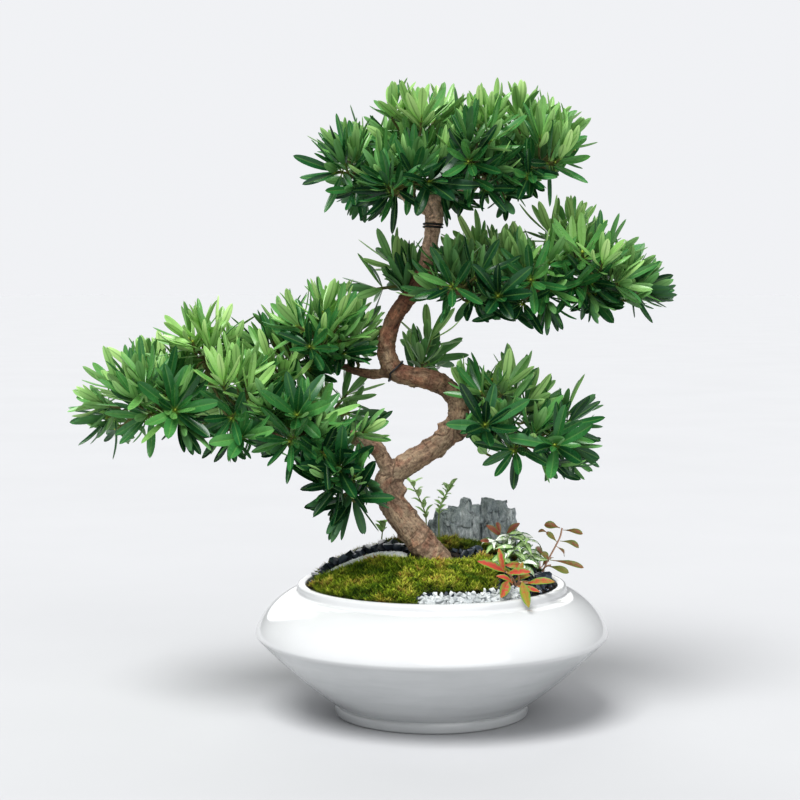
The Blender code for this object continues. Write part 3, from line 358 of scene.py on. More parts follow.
# The bark's own line for the trunk, a root and the stumps of cut branches, and the bark's relief
BARK_TRUNK = [
    (9, -22, 101, 11.0), (9, -22, 118, 11.6), (5, -22, 132, 12.4), (-7.5, -20, 147.5, 12.2),
    (-26.5, -16, 171, 11.8), (-37, -13, 190, 11.0), (-36.5, -12, 203, 10.2), (-20, -9, 214, 9.6),
    (4, -4, 229, 9.4), (18, -1, 242.5, 9.6), (23, 2, 259, 8.8), (16, 3, 274, 8.6),
    (1.5, 4, 283, 8.5), (-17, 5, 286.5, 8.6), (-32, 6, 292, 8.8), (-38.5, 6, 306.5, 8.0),
    (-36.5, 5, 325, 7.2), (-28, 4, 343, 7.0), (-14.5, 3, 360, 7.0), (-5, 1, 380, 6.6),
    (-1, 0, 401, 6.6), (1.7, 0, 422.5, 7.6), (2.6, 0, 440, 9.0)]
STUBS = [[(1, -21, 150, 8.5), (-3, -24, 142, 7.0), (-7, -27, 136, 3.6)],
         [(19, -1, 243, 7.0), (23, -3, 232, 4.6)], [(11, -2, 238, 6.5), (8, -4, 248.5, 3.4)],
         [(-34, -12, 196, 8.0), (-23, -15, 189, 4.4)]]
FINE_STEPS = 6
TRUNK_SIDES = 8
BRANCH_SIDES = 6
FINE_SIDES = 20
BARK_VOXEL = 1.3
BARK_RELIEF = 0.9
BARK_SWELL = (0.06, 1.2)
STRIP_SCALES = (0.34, 0.2)
STRIP_NOISE = (0.8, 2.1, 4)
STRIP_HEIGHT = 0.7
FLAKE_SCALES = (0.4, 0.24)
FLAKE_WARP = (0.22, 0.7)
FLAKE_HEIGHT = 0.5
KNOT_SCALE = 0.13
KNOT_SHIFT = Vector((4, 9, 2))
KNOT_FLOOR = 0.3
KNOT_HEIGHT = 4.5
CUT_SMOOTH = 1.5
CUT_FADE = 1.2
BRANCH_APART = 500
NEAREST = 8

# Training wire: place on the trunk's path, steps of the path that it covers, turns, and lift
WIRES = {"wire_top": (41.2, 0.45, 2, 0.3), "wire_bend": (28.0, 0.6, 1, 1.0)}
FINE_WIRE_RADIUS = 0.85
WIRE_STEPS = 10
WIRE_FINE = 3
WIRE_CORNERS = 8
WIRE_START = Vector((0.3, 0.8, 0.2))

# Sprays: branch, how far along it, centre of the spray, and the way it leans
SPRAYS = {
    "crown_1": ("crown_left", 1.0, (-62, -12, 456), (-1.0, -0.2, 0.35)),
    "crown_2": ("crown_left", 0.7, (-42, 28, 468), (-0.5, 0.6, 0.8)),
    "crown_3": ("crown_left", 0.5, (-20, -40, 448), (-0.4, -0.9, 0.2)),
    "crown_4": ("trunk", 1.0, (-8, 4, 482), (-0.1, 0.0, 1.0)),
    "crown_5": ("crown_right", 0.5, (30, 34, 478), (0.1, 0.6, 0.9)),
    "crown_6": ("crown_right", 0.65, (34, -36, 462), (0.1, -0.8, 0.5)),
    "crown_7": ("crown_right", 0.82, (76, 20, 480), (0.5, 0.4, 0.8)),
    "crown_8": ("crown_right", 1.0, (88, -18, 464), (0.9, -0.4, 0.35)),
    "right_1": ("trunk", 0.80, (-24, 30, 364), (-0.8, 0.6, 0.3)),
    "right_2": ("right", 0.35, (24, -32, 362), (0.0, -0.8, 0.4)),
    "right_3": ("right", 0.45, (48, 28, 374), (0.1, 0.6, 0.8)),
    "right_4": ("right", 0.62, (84, -30, 364), (0.2, -0.7, 0.5)),
    "right_5": ("right", 0.78, (108, 18, 388), (0.2, 0.3, 0.95)),
    "right_6": ("right", 0.88, (126, -26, 374), (0.4, -0.5, 0.7)),
    "right_7": ("right", 1.0, (151, 2, 362), (1.0, 0.1, 0.25)),
    "upper_left_1": ("upper_left", 0.5, (-72, 32, 314), (0.2, 0.5, 0.9)),
    "upper_left_2": ("upper_left", 0.8, (-96, -2, 318), (-0.3, -0.4, 0.9)),
    "upper_left_3": ("upper_left", 1.0, (-122, 26, 304), (-0.7, 0.3, 0.6)),
    "left_1": ("left", 1.0, (-251, -8, 262), (-1.0, 0.0, 0.15)),
    "left_2": ("left", 0.90, (-230, 26, 278), (-0.5, 0.5, 0.7)),
    "left_3": ("left", 0.85, (-222, -38, 262), (-0.3, -0.8, 0.3)),
    "left_4": ("left", 0.76, (-192, 4, 300), (-0.1, 0.1, 1.0)),
    "left_5": ("left", 0.64, (-166, 42, 272), (0.0, 0.7, 0.6)),
    "left_6": ("left", 0.60, (-158, -48, 262), (0.0, -0.8, 0.3)),
    "left_7": ("left", 0.48, (-122, -6, 282), (-0.1, -0.1, 0.95)),
    "left_8": ("left", 0.42, (-106, -56, 244), (0.1, -0.8, 0.1)),
    "left_9": ("left", 0.24, (-68, -54, 212), (0.1, -0.5, -0.7)),
    "left_10": ("left", 0.34, (-86, 26, 254), (0.1, 0.8, 0.3)),
    "low_right_1": ("low_right", 0.4, (50, -32, 262), (0.0, -0.4, 0.9)),
    "low_right_2": ("low_right", 0.7, (74, 16, 258), (0.3, 0.6, 0.7)),
    "low_right_3": ("low_right", 1.0, (98, -16, 242), (0.9, -0.2, 0.2)),
    "low_right_4": ("low_right", 0.75, (72, -46, 234), (0.3, -0.9, -0.1)),
    "rear_1": ("trunk", 0.60, (-8, 42, 298), (0.3, 0.7, 0.5)),
}

# Each pad's outline in the photograph, in its pixels, that the added leaves stay inside
PADS = {
    "crown": [(300, 171), (310, 138), (346, 113), (378, 102), (392, 80), (421, 73), (460, 82),
              (494, 76), (524, 77), (559, 98), (592, 116), (582, 142), (566, 160), (560, 180),
              (540, 197), (522, 212), (505, 222), (468, 210), (444, 231), (414, 219), (395, 219),
              (354, 226), (334, 200)],
    "right": [(379, 262), (400, 235), (424, 243), (454, 224), (476, 217), (517, 220), (541, 246),
              (551, 212), (567, 192), (600, 204), (613, 232), (642, 245), (657, 255), (674, 272),
              (682, 300), (660, 310), (626, 308), (612, 326), (580, 322), (548, 338), (520, 322),
              (495, 322), (464, 330), (440, 312), (412, 300), (394, 302), (384, 288)],
    "upper_left": [(256, 317), (284, 288), (321, 273), (342, 273), (362, 284), (368, 305),
                   (384, 312), (381, 358), (366, 368), (340, 384), (322, 372), (283, 347)],
    "left": [(66, 416), (72, 388), (97, 368), (120, 346), (148, 326), (180, 338), (188, 296),
             (224, 298), (230, 330), (243, 319), (258, 332), (262, 348), (304, 345), (314, 356),
             (337, 394), (368, 381), (373, 412), (402, 401), (382, 432), (402, 438), (372, 450),
             (398, 478), (396, 508), (348, 510), (331, 549), (301, 505), (326, 492), (299, 471),
             (272, 456), (238, 463), (208, 463), (165, 445), (134, 447), (90, 440)],
    "low_right": [(443, 423), (460, 410), (450, 362), (464, 354), (486, 370), (502, 354),
                  (512, 380), (534, 372), (554, 371), (566, 398), (594, 410), (603, 437),
                  (603, 473), (580, 482), (542, 484), (530, 446), (510, 454), (468, 445)],
    "rear": [(390, 375), (392, 332), (412, 322), (437, 328), (450, 346), (448, 376), (420, 372)],
}

# Where the photograph shows bare wood, in its pixels, that the added leaves keep off
BARE_WOOD = [
    [(422, 190), (447, 190), (444, 228), (424, 238)],
    [(384, 296), (408, 290), (400, 345), (402, 368), (384, 362)],
    [(402, 366), (452, 370), (468, 400), (462, 432), (404, 474), (392, 474), (388, 458), (442, 424),
     (444, 392), (402, 386)],
    [(366, 442), (392, 446), (408, 500), (440, 552), (412, 556), (388, 500)],
]

# Wide whorls that face the viewer: their spray, place in the photograph's pixels, and depth
FACING = [
    ("left_3", (175, 410), -72), ("left_6", (243, 437), -78), ("left_9", (339, 468), -82),
    ("left_9", (352, 498), -68), ("low_right_1", (485, 425), -72), ("low_right_4", (555, 445), -78),
    ("crown_3", (429, 181), -66), ("right_4", (498, 296), -62), ("left_8", (297, 415), -84),
]
FACING_LEAVES = 7
FACING_OPENING = 74
FACING_OPENINGS = (-16, 8)
FACING_FOLD = 24
FACING_SWAY = 0.12
FACING_LENGTH = 38.0
FACING_LENGTHS = (0.85, 1.12)
FACING_SHRINK = 0.02
FACING_WIDTH = 11.0
FACING_WIDTHS = (0.9, 1.1)
FACING_THICKNESS = 0.7
FACING_ROOT = 0.6
FACING_BENDS = (-2.5, 2.0)
FACING_INNER_OPENING = 28
FACING_AIM_SWAY = 0.3
FACING_LIFT = 0.35
FACING_TINT = -0.17

# More shoots that stand out in the photograph: spray, pixel, depth and the way they point
CHOSEN_SHOOTS = [
    ("crown_8", (566, 136), -24, (0.55, -0.1, 0.85)), ("crown_7", (552, 124), 10, (0.4, 0.1, 0.9)),
    ("crown_8", (574, 150), -6, (0.8, 0.0, 0.6)), ("crown_4", (392, 108), -6, (-0.05, -0.1, 1.0)),
    ("left_4", (202, 330), -6, (0.0, -0.1, 1.0)), ("right_5", (574, 224), 0, (0.1, -0.1, 1.0)),
    ("right_7", (648, 292), -10, (1.0, -0.1, 0.15)), ("left_1", (98, 404), -20, (-1.0, -0.2, 0.25)),
    ("crown_6", (491, 117), -30, (-0.05, -0.3, 1.0)),
    ("crown_3", (421, 116), -34, (0.0, -0.2, 1.0)),
    ("right_4", (548, 306), -34, (0.15, -0.4, -0.8)),
    ("right_6", (592, 300), -36, (0.3, -0.4, -0.7)),
    ("left_3", (184, 428), -62, (0.4, -0.4, -0.7)), ("left_9", (366, 432), -62, (0.9, -0.3, 0.35)),
    ("left_9", (344, 506), -62, (-0.2, -0.2, -1.0)),
    ("left_9", (328, 500), -50, (-0.9, -0.2, -0.2)),
    ("upper_left_1", (366, 344), 22, (0.7, 0.2, 0.5)),
    ("low_right_1", (463, 386), -20, (-0.4, -0.1, 0.9)),
    ("low_right_1", (492, 380), -20, (0.1, -0.1, 1.0)),
    ("crown_3", (450, 202), -30, (0.4, -0.4, -0.6)),
    ("crown_6", (506, 205), -34, (0.2, -0.3, -0.8)), ("left_6", (232, 446), -60, (0.1, -0.4, -0.7)),
]
CHOSEN_TINT = 0.1

# Light: a sun's strength, softness, tilt from overhead and turn in degrees, and the world
SUNS = {"key": (2.75, 32, 32, -26), "front": (0.8, 60, 64, 20), "back": (0.8, 60, 58, 190)}
WORLD_FILL = 0.36
WORLD_SEEN = 0.765
VIEW_LOOK = "Medium High Contrast"
WORLD_COLOUR = (0.965, 0.975, 1.0, 1)
FLOOR_RADIUS = 40.0
FLOOR_SIDES = 64
FLOOR_STOPS = [(0.3, (0.545, 0.55, 0.56)), (0.7, (0.56, 0.565, 0.575))]

# Where the white and green plant stands, and the sprigs' stems and pairs of leaves
VARIEGATED_PLANT = (64.0, -8.0)
SPRIGS = {
    "sprig_tall": [(-6, 22, 0), (-5, 22, 26), (-17, 22, 54)],
    "sprig_short": [(7, 20, 0), (7, 20, 30), (16, 21, 50)],
    "sprig_left": [(-44, 34, 0), (-43, 34, 10), (-42, 33, 22)],
}
SPRIG_LEAVES = {"sprig_tall": (4, 11.0, 4.4, 0.2), "sprig_short": (4, 10.0, 4.4, 0.3),
                "sprig_left": (2, 9.5, 5.4, 1.0)}
SPRIG_TURN = 0.7
SPRIG_SWAY = 0.3
SPRIG_LENGTHS = (0.7, 1.15)
SPRIG_WIDTHS = (0.85, 1.15)
SPRIG_RISES = (0.0, 0.9)
SPRIG_TOP = 0.98
SPRIG_STEP = 0.05
SPRIG_RADIUS = 0.75

# Plants with red leaves: place, the stem's height, its twigs' radius, the outline of the leaves,
# and the middle's height, number, reach and width of the leaves on the far side
RED_LEAVED = {
    "red_plant": ((66.0, -56.0), 116, 0.75, SMALL_OUTLINE, (121, 5, 17, 7)),
    "tall_plant": ((93.0, 8.0), 118, 0.78, OBOVATE_OUTLINE, (128, 3, 16, 6.5)),
}

# Leaves on their far side: the fan that they fill in degrees, and how they vary
FAR_FAN = (20, 140)
FAR_SWAY = 0.15
FAR_RISES = (-0.1, 0.5)
FAR_ROOT = 3
FAR_DROP = 6
FAR_LENGTHS = (0.8, 1.15)
FAR_WIDTHS = (0.85, 1.1)
FAR_BENDS = (0.8, 2.0)
FAR_LEAN = 0.4

# Leaves and stems of the small plants between pixels of the photograph, with depths and widths
RED_STEMS = [
    [((516, 590), -56), ((514, 580), -58), ((506, 572), -60)],
    [((516, 588), -57), ((519, 578), -60), ((515, 568), -58)],
    [((517, 590), -57), ((521, 584), -62), ((528, 583), -64)],
    [((517, 588), -58), ((520, 582), -64), ((522, 582), -71)],
    [((515, 588), -58), ((510, 582), -63), ((507, 581), -66)],
]
RED_LEAVES = [
    ((505, 572), -60, (477, 561), -66, 7.2), ((504, 572), -60, (499, 548), -56, 6.0),
    ((507, 573), -61, (531, 572), -66, 6.5), ((527, 583), -64, (555, 582), -70, 6.5),
    ((522, 582), -72, (529, 608), -101, 8.0), ((508, 581), -70, (501, 598), -97, 8.5),
    ((505, 565), -54, (522, 566), -50, 6.5), ((515, 580), -60, (530, 575), -52, 5.5),
    ((513, 583), -64, (496, 576), -68, 5.5), ((519, 578), -60, (523, 562), -58, 5.5),
    ((517, 586), -66, (540, 592), -76, 5.0),
]
PALE_TIPS = [((495, 540), -14), ((509, 534), -18), ((526, 538), -16), ((514, 547), -28),
             ((531, 553), -18), ((501, 554), -32), ((522, 562), -34), ((515, 536), 4),
             ((528, 548), 6)]
PALE_LEAVES = 5
PALE_LENGTHS = (12.0, 18.0)
PALE_WIDTHS = (5.0, 6.6)
PALE_BENDS = (1.8, 4.0)
PALE_ROLL = 0.35
PALE_SWAY = 0.3
PALE_DROOP = (-0.1, 0.2)
PALE_FORWARD = 0.4
PALE_STEP = 0.9
PALE_LEAF_UP = Vector((0, -0.9, 0.8))
PALE_LEAF_PULL = 0.2
PALE_STEM = ((0, 131), (-2, 150))
PALE_STEM_RADIUS = 1.1
PALE_TWIG_FOOT = 128
ORANGE_LEAVES = [
    ((501, 536), -10, (486, 525), -14, 5.5), ((507, 533), -10, (520, 523), -14, 5.5),
    ((500, 534), -8, (497, 522), 0, 4.5), ((490, 542), -14, (480, 541), -20, 4.5),
]
TALL_STEMS = [
    [((541, 576), 8), ((547, 562), 6), ((555, 547), 6), ((560, 537), 6), ((562, 528), 6)],
    [((541, 574), 8), ((545, 567), 2), ((551, 565), 0)],
]
TALL_LEAVES = [
    ((560, 528), 6, (544, 525), 2, 7.0), ((563, 530), 6, (583, 534), 2, 5.0),
    ((557, 542), 6, (546, 532), 2, 5.0), ((548, 533), 4, (538, 532), 4, 3.5),
    ((560, 541), 6, (579, 548), 0, 6.5), ((550, 560), 4, (584, 568), -4, 5.5),
    ((548, 566), 2, (569, 573), -6, 6.0), ((549, 562), 6, (541, 552), 2, 6.0),
    ((556, 546), 6, (564, 556), 22, 5.0),
]
SMALL_LEAF_UP = Vector((0, -0.25, 1))
SMALL_LEAF_PULL = 0.3
SMALL_LEAF_TINTS = (0.5, 0.22)
SMALL_LEAF_BENDS = (0.6, 1.8)
PICTURE_LEAF_UP = Vector((0, -1.0, 0.6))
PICTURE_LEAF_TINTS = (0.5, 0.2)
PICTURE_LEAF_BENDS = (1.4, 3.2)
PICTURE_LEAF_ROLL = 0.2
TWIG_RADII = (0.5, 0.45)
STEM_STEPS = 8
STEM_SIDES = 7
STEM_TAPER = 0.35
TWIG_CORNERS = 5
SMALL_THICKNESS = 0.6
SMALL_BLADE = 0.4

# Plain finishes: the noise's scale, places and colours along it, and the roughness
PLAIN_FINISHES = {
    "drain_net_black": (300.0, [(0.3, (0.02, 0.02, 0.02)), (0.7, (0.035, 0.035, 0.035))], 0.6),
    "wire_dark": (200.0, [(0.3, (0.012, 0.012, 0.014)), (0.7, (0.03, 0.03, 0.034))], 0.4),
    "twig_bark": (120.0, [(0.35, (0.09, 0.08, 0.03)), (0.65, (0.17, 0.18, 0.05))], 0.7),
    "bud_green": (300.0, [(0.3, (0.36, 0.44, 0.05)), (0.7, (0.52, 0.58, 0.10))], 0.5),
    "berry_blue_green": (200.0, [(0.3, (0.30, 0.46, 0.42)), (0.7, (0.42, 0.58, 0.52))], 0.5),
    "stem_red": (200.0, [(0.3, (0.42, 0.21, 0.13)), (0.7, (0.58, 0.38, 0.26))], 0.5),
    "stem_peach": (200.0, [(0.3, (0.50, 0.28, 0.19)), (0.7, (0.66, 0.44, 0.32))], 0.5),
    "stem_green": (200.0, [(0.3, (0.14, 0.20, 0.05)), (0.7, (0.26, 0.34, 0.10))], 0.5),
}

# Stone finishes: the same, and the scale and height of the relief
STONE_FINISHES = {
    "white_stone_grain": (260.0, [(0.3, (0.38, 0.41, 0.42)), (0.6, (0.70, 0.725, 0.73))],
                          0.6, 500.0, 0.25),
    "dark_slate_wet": (90.0, [(0.25, (0.008, 0.012, 0.018)), (0.75, (0.08, 0.10, 0.13))],
                       0.2, 240.0, 0.3),
    "soil_crumbs": (220.0, [(0.3, (0.010, 0.007, 0.005)), (0.7, (0.075, 0.05, 0.035))],
                    0.95, 420.0, 1.2),
}

# Moss finishes: colours along the tint of the shoots
MOSS_FINISHES = {
    "moss_green": [(0.0, (0.09, 0.20, 0.004)), (0.3, (0.28, 0.41, 0.010)),
                   (0.55, (0.58, 0.70, 0.055)), (0.8, (0.86, 0.78, 0.15)),
                   (1.0, (0.66, 0.34, 0.09))],
    "moss_brown_green": [(0.0, (0.06, 0.13, 0.004)), (0.4, (0.22, 0.29, 0.012)),
                         (0.7, (0.42, 0.41, 0.05)), (1.0, (0.42, 0.18, 0.06))],
}
# Painted shade: the near black of the moss cushion and of the blades' feet
MOSS_PAINTED_SHADE = (0.009, 0.013, 0.001)

# Finishes of the small leaves: two colours of the middle, the rim's, and how uneven the rim is
LEAFY_FINISHES = {
    "leaf_red": ((0.46, 0.07, 0.045), (0.31, 0.23, 0.04), (0.16, 0.28, 0.035), 1.2),
    "leaf_olive": ((0.37, 0.15, 0.075), (0.30, 0.29, 0.08), (0.20, 0.30, 0.06), 0.8),
    "leaf_variegated": ((0.97, 0.99, 0.93), (0.50, 0.70, 0.30), (0.03, 0.15, 0.012), 0.7),
    "leaf_sprig": ((0.33, 0.54, 0.18), (0.44, 0.64, 0.28), (0.50, 0.66, 0.34), 0.3),
    "leaf_brown_red": ((0.30, 0.09, 0.06), (0.27, 0.14, 0.07), (0.22, 0.20, 0.06), 0.6),
}


def clamped(value):
    """A value kept between 0 and 1."""
    return max(0.0, min(1.0, value))


def any_way(rng):
    """A direction drawn at random."""
    return Vector([rng.gauss(0, 1) for _ in range(3)]).normalized()


def turned(side, other, angle):
    """The direction at an angle from one side towards the other."""
    return side * math.cos(angle) + other * math.sin(angle)


def curve_point(start, leave, arrive, end, t):
    """A point on the curve between two ends, from the two points that steer it."""
    return (start * (1 - t) ** 3 + leave * (3 * t * (1 - t) ** 2)
            + arrive * (3 * t * t * (1 - t)) + end * t ** 3)


def square_to(axis, way):
    """The direction square to an axis that is nearest to a way."""
    return (way - axis * way.dot(axis)).normalized()


def middle_of(corners):
    """The mean of some corners."""
    return sum(corners, Vector()) / len(corners)


def new_mesh(name, corners, faces):
    """A mesh in metres, from corners in millimetres."""
    mesh = bpy.data.meshes.new(name)
    mesh.from_pydata([Vector(corner) * MM for corner in corners], [], faces)
    return mesh


def in_scene(name, data):
    """A new object in the scene."""
    made = bpy.data.objects.new(name, data)
    bpy.context.scene.collection.objects.link(made)
    return made


def give_values(mesh, name, values, domain="POINT"):
    """Gives a mesh's corners or faces a value each, which its finish reads."""
    mesh.attributes.new(name, "FLOAT", domain).data.foreach_set("value", values)


class Piece:
    """Corners, faces and their values, gathered for one piece of the scene."""

    def __init__(self):
        self.corners = []
        self.faces = []
        self.slots = []
        self.point_values = {"tint": [], "edge": [], "along": []}
        self.under = []

    def add(self, corners, faces, slot=0, tint=0.0, edge=None, along=None, under=None):
        """Adds a shape, with its material's number and the values that its finish reads."""
        first = len(self.corners)
        count = len(corners)
        self.corners += corners
        self.faces += [tuple(k + first for k in face) for face in faces]
        self.slots += [slot] * len(faces)
        self.point_values["tint"] += [tint] * count
        self.point_values["edge"] += edge or [0.5] * count
        self.point_values["along"] += along or [0.5] * count
        self.under += under or [0.0] * len(faces)

    def add_tube(self, path, sides, slot=1):
        """Adds a tube round a path of centres and radii."""
        self.add(*tube_shape(tube_rings(path, sides)), slot=slot)

    def make(self, name, finishes, stands_for=(), smooth_angle=40):
        """Makes the piece's mesh and puts it in the scene."""
        mesh = new_mesh(name, self.corners, self.faces)
        for finish in finishes:
            mesh.materials.append(finish)
        mesh.polygons.foreach_set("material_index", self.slots)
        for key, values in self.point_values.items():
            give_values(mesh, key, values)
        give_values(mesh, "under", self.under, "FACE")
        mesh.shade_smooth()
        mesh.set_sharp_from_angle(angle=math.radians(smooth_angle))
        place_piece(name, mesh, stands_for)


def place_piece(name, mesh, stands_for=()):
    """Puts a mesh in the scene, riding on the model's root, for the nodes that it stands for."""
    made = in_scene(name, mesh)
    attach(made, "root")
    if stands_for:
        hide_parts(*stands_for)


class Finish:
    """A node material that is written as a few short lines."""

    def __init__(self, name, roughness):
        self.material = bpy.data.materials.new(name)
        self.material.use_nodes = True
        self.tree = self.material.node_tree
        self.shader = self.tree.nodes["Principled BSDF"]
        self.shader.inputs["Roughness"].default_value = roughness

    def join(self, value, socket):
        """Feeds a socket from another one, or sets its number or colour."""
        if isinstance(value, bpy.types.NodeSocket):
            self.tree.links.new(value, socket)
        elif isinstance(value, tuple) and len(value) == 3 and socket.type == "RGBA":
            socket.default_value = (*value, 1)
        else:
            socket.default_value = value

    def node(self, kind, settings=None, inputs=()):
        """A node with its settings, and values for its inputs by name or number."""
        made = self.tree.nodes.new("ShaderNode" + kind)
        for key, value in (settings or {}).items():
            setattr(made, key, value)
        for key, value in dict(inputs).items():
            self.join(value, made.inputs[key])
        return made

    def noise(self, scale, detail=4.0, roughness=0.55, stretch=(1, 1, 1), source=None):
        """Noise between 0 and 1, with its scale in waves per metre."""
        place = source or self.node("TexCoord").outputs["Object"]
        if stretch != (1, 1, 1):
            place = self.node("Mapping", {}, {"Vector": place, "Scale": stretch}).outputs["Vector"]
        inputs = {"Vector": place, "Scale": scale, "Detail": detail, "Roughness": roughness}
        return self.node("TexNoise", {}, inputs).outputs["Fac"]

    def value(self, name):
        """One of the values that a piece's corners or faces carry."""
        return self.node("Attribute", {"attribute_name": name}).outputs["Fac"]

    def height(self):
        """The height above the pot's foot, in metres."""
        place = self.node("TexCoord").outputs["Object"]
        return self.node("SeparateXYZ", {}, {0: place}).outputs[2]

    def math(self, operation, first, second):
        """A sum, product or other operation on two values."""
        return self.node("Math", {"operation": operation}, {0: first, 1: second}).outputs[0]

    def sway(self, value, noise, strength):
        """A value moved up and down by a noise."""
        inputs = {0: noise, 1: strength, 2: -strength / 2}
        moved = self.node("Math", {"operation": "MULTIPLY_ADD"}, inputs).outputs[0]
        return self.math("ADD", value, moved)

    def fade(self, value, start, end, high, low=0.0):
        """Runs from high to low as the value goes from start to end."""
        return self.node("MapRange", {}, {0: value, 1: start, 2: end, 3: high, 4: low}).outputs[0]

    def ramp(self, factor, stops):
        """Colours along a factor, from places and colours in rising order."""
        made = self.node("ValToRGB", {}, {"Fac": factor})
        elements = made.color_ramp.elements
        elements[0].position, elements[0].color = stops[0][0], (*stops[0][1], 1)
        elements[1].position, elements[1].color = stops[-1][0], (*stops[-1][1], 1)
        for place, colour in stops[1:-1]:
            elements.new(place).color = (*colour, 1)
        return made.outputs["Color"]

    def mix(self, factor, first, second, blend="MIX"):
        """Two colours mixed by a factor."""
        settings = {"data_type": "RGBA", "blend_type": blend}
        return self.node("Mix", settings, {0: factor, 6: first, 7: second}).outputs[2]

    def colour(self, socket):
        """Colours the surface."""
        self.tree.links.new(socket, self.shader.inputs["Base Color"])

    def bump(self, height, distance, strength=1.0):
        """Fine relief on the surface, with its depth in millimetres."""
        inputs = {"Height": height, "Distance": distance * MM, "Strength": strength}
        made = self.node("Bump", {}, inputs)
        self.tree.links.new(made.outputs["Normal"], self.shader.inputs["Normal"])


def smooth_path(points, steps):
    """Centres and radii along the Catmull-Rom curve through the points."""
    path = []
    last = len(points) - 1
    for i in range(last):
        four = [points[max(i - 1, 0)], points[i], points[i + 1], points[min(i + 2, last)]]
        for step in range(steps):
            t = step / steps
            weights = (-0.5 * t + t ** 2 - 0.5 * t ** 3, 1 - 2.5 * t ** 2 + 1.5 * t ** 3,
                       0.5 * t + 2 * t ** 2 - 1.5 * t ** 3, -0.5 * t ** 2 + 0.5 * t ** 3)
            values = [sum(w * point[k] for w, point in zip(weights, four)) for k in range(4)]
            path.append((Vector(values[:3]), values[3]))
    path.append((Vector(points[-1][:3]), points[-1][3]))
    return path


def direction(path, index):
    """Which way a path runs at one of its centres."""
    ahead = path[min(index + 1, len(path) - 1)][0]
    return (ahead - path[max(index - 1, 0)][0]).normalized()


def tube_rings(path, sides):
    """Rings of corners round a path of centres and radii, with a twist in turns where given."""
    rings = []
    side = None
    for i, (centre, radius, *twist) in enumerate(path):
        tangent = direction(path, i)
        side = square_to(tangent, side or tangent.orthogonal())
        other = tangent.cross(side)
        offset = twist[0] if twist else 0.0
        ring = []
        for k in range(sides):
            angle = math.tau * (k + offset) / sides
            ring.append(centre + turned(side, other, angle) * radius)
        rings.append(ring)
    return rings


def tube_shape(rings):
    """The closed surface through rings of corners."""
    sides = len(rings[0])
    corners = [corner for ring in rings for corner in ring]
    faces = []
    for segment in range(len(rings) - 1):
        for k in range(sides):
            after = (k + 1) % sides
            low = segment * sides
            faces.append((low + k, low + after, low + after + sides, low + k + sides))
    faces.append(tuple(reversed(range(sides))))
    last = (len(rings) - 1) * sides
    faces.append(tuple(range(last, last + sides)))
    return corners, faces


def leaf_frame(leaf):
    """The corners of a leaf past its root: both edges and the keel at its widest, then its tip."""
    root, tip, face_up, width, thickness, bend = leaf
    along = (tip - root).normalized()
    up = square_to(along, face_up)
    across = up.cross(along)
    middle = root.lerp(tip, LEAF_WIDEST) + up * bend
    half = across * (width / 2)
    return [middle - half, middle + half, middle - up * thickness, tip]


def crosses_itself(rings, segment, k, leaf):
    """Whether a leaf's faces would cut each other, as they do when it is twisted at its root."""
    after = (k + 1) % len(rings[0])
    low, high = rings[segment], rings[segment + 1]
    corners = [low[k], low[after], high[after], high[k]] + leaf_frame(leaf)
    faces = [(2, 3, 4), (2, 4, 5), (0, 1, 6), (1, 2, 5), (1, 5, 6), (3, 0, 6), (3, 6, 4),
             (5, 4, 7), (4, 6, 7), (6, 5, 7)]
    tree = BVHTree.FromPolygons(corners, faces)
    return any(not set(faces[a]) & set(faces[b]) for a, b in tree.overlap(tree))


def seat(rings, segment, k):
    """The middle of one face of a tube, the way out of it and the way along the stem."""
    sides = len(rings[0])
    low = rings[segment]
    high = rings[segment + 1]
    axis = (sum(high, Vector()) - sum(low, Vector())).normalized()
    middle = (low[k] + low[(k + 1) % sides] + high[k] + high[(k + 1) % sides]) / 4
    centre = (sum(high, Vector()) + sum(low, Vector())) / (2 * sides)
    return middle, square_to(axis, middle - centre), axis


def leaf_hull(leaf, grow=0.0):
    """A closed shape round a leaf past its root, to test the room that it needs."""
    root, tip, face_up, width, thickness, bend = leaf
    longer, wider, thicker = (part * grow for part in HULL_GROWTH)
    further = tip + (tip - root).normalized() * longer
    left, right, keel, end = leaf_frame((root, further, face_up, width + wider,
                                         thickness + thicker, bend))
    middle = (left + right) / 2
    up = (middle - keel).normalized() * grow
    neck = root.lerp(middle, HULL_NECK)
    half = (right - left).normalized() * (LEAF_NECK / 2 + grow)
    corners = [neck - half + up, neck + half + up, neck + (keel - middle) * HULL_KEEL, left + up,
               right + up, keel, end + up]
    faces = [(1, 0, 2), (1, 3, 0), (1, 4, 3), (2, 4, 1), (2, 5, 4), (0, 5, 2), (0, 3, 5),
             (4, 6, 3), (3, 6, 5), (5, 6, 4)]
    return corners, faces


def ball_round(corners):
    """The middle of some corners, and how far they reach from it."""
    centre = middle_of(corners)
    return centre, max((corner - centre).length for corner in corners)


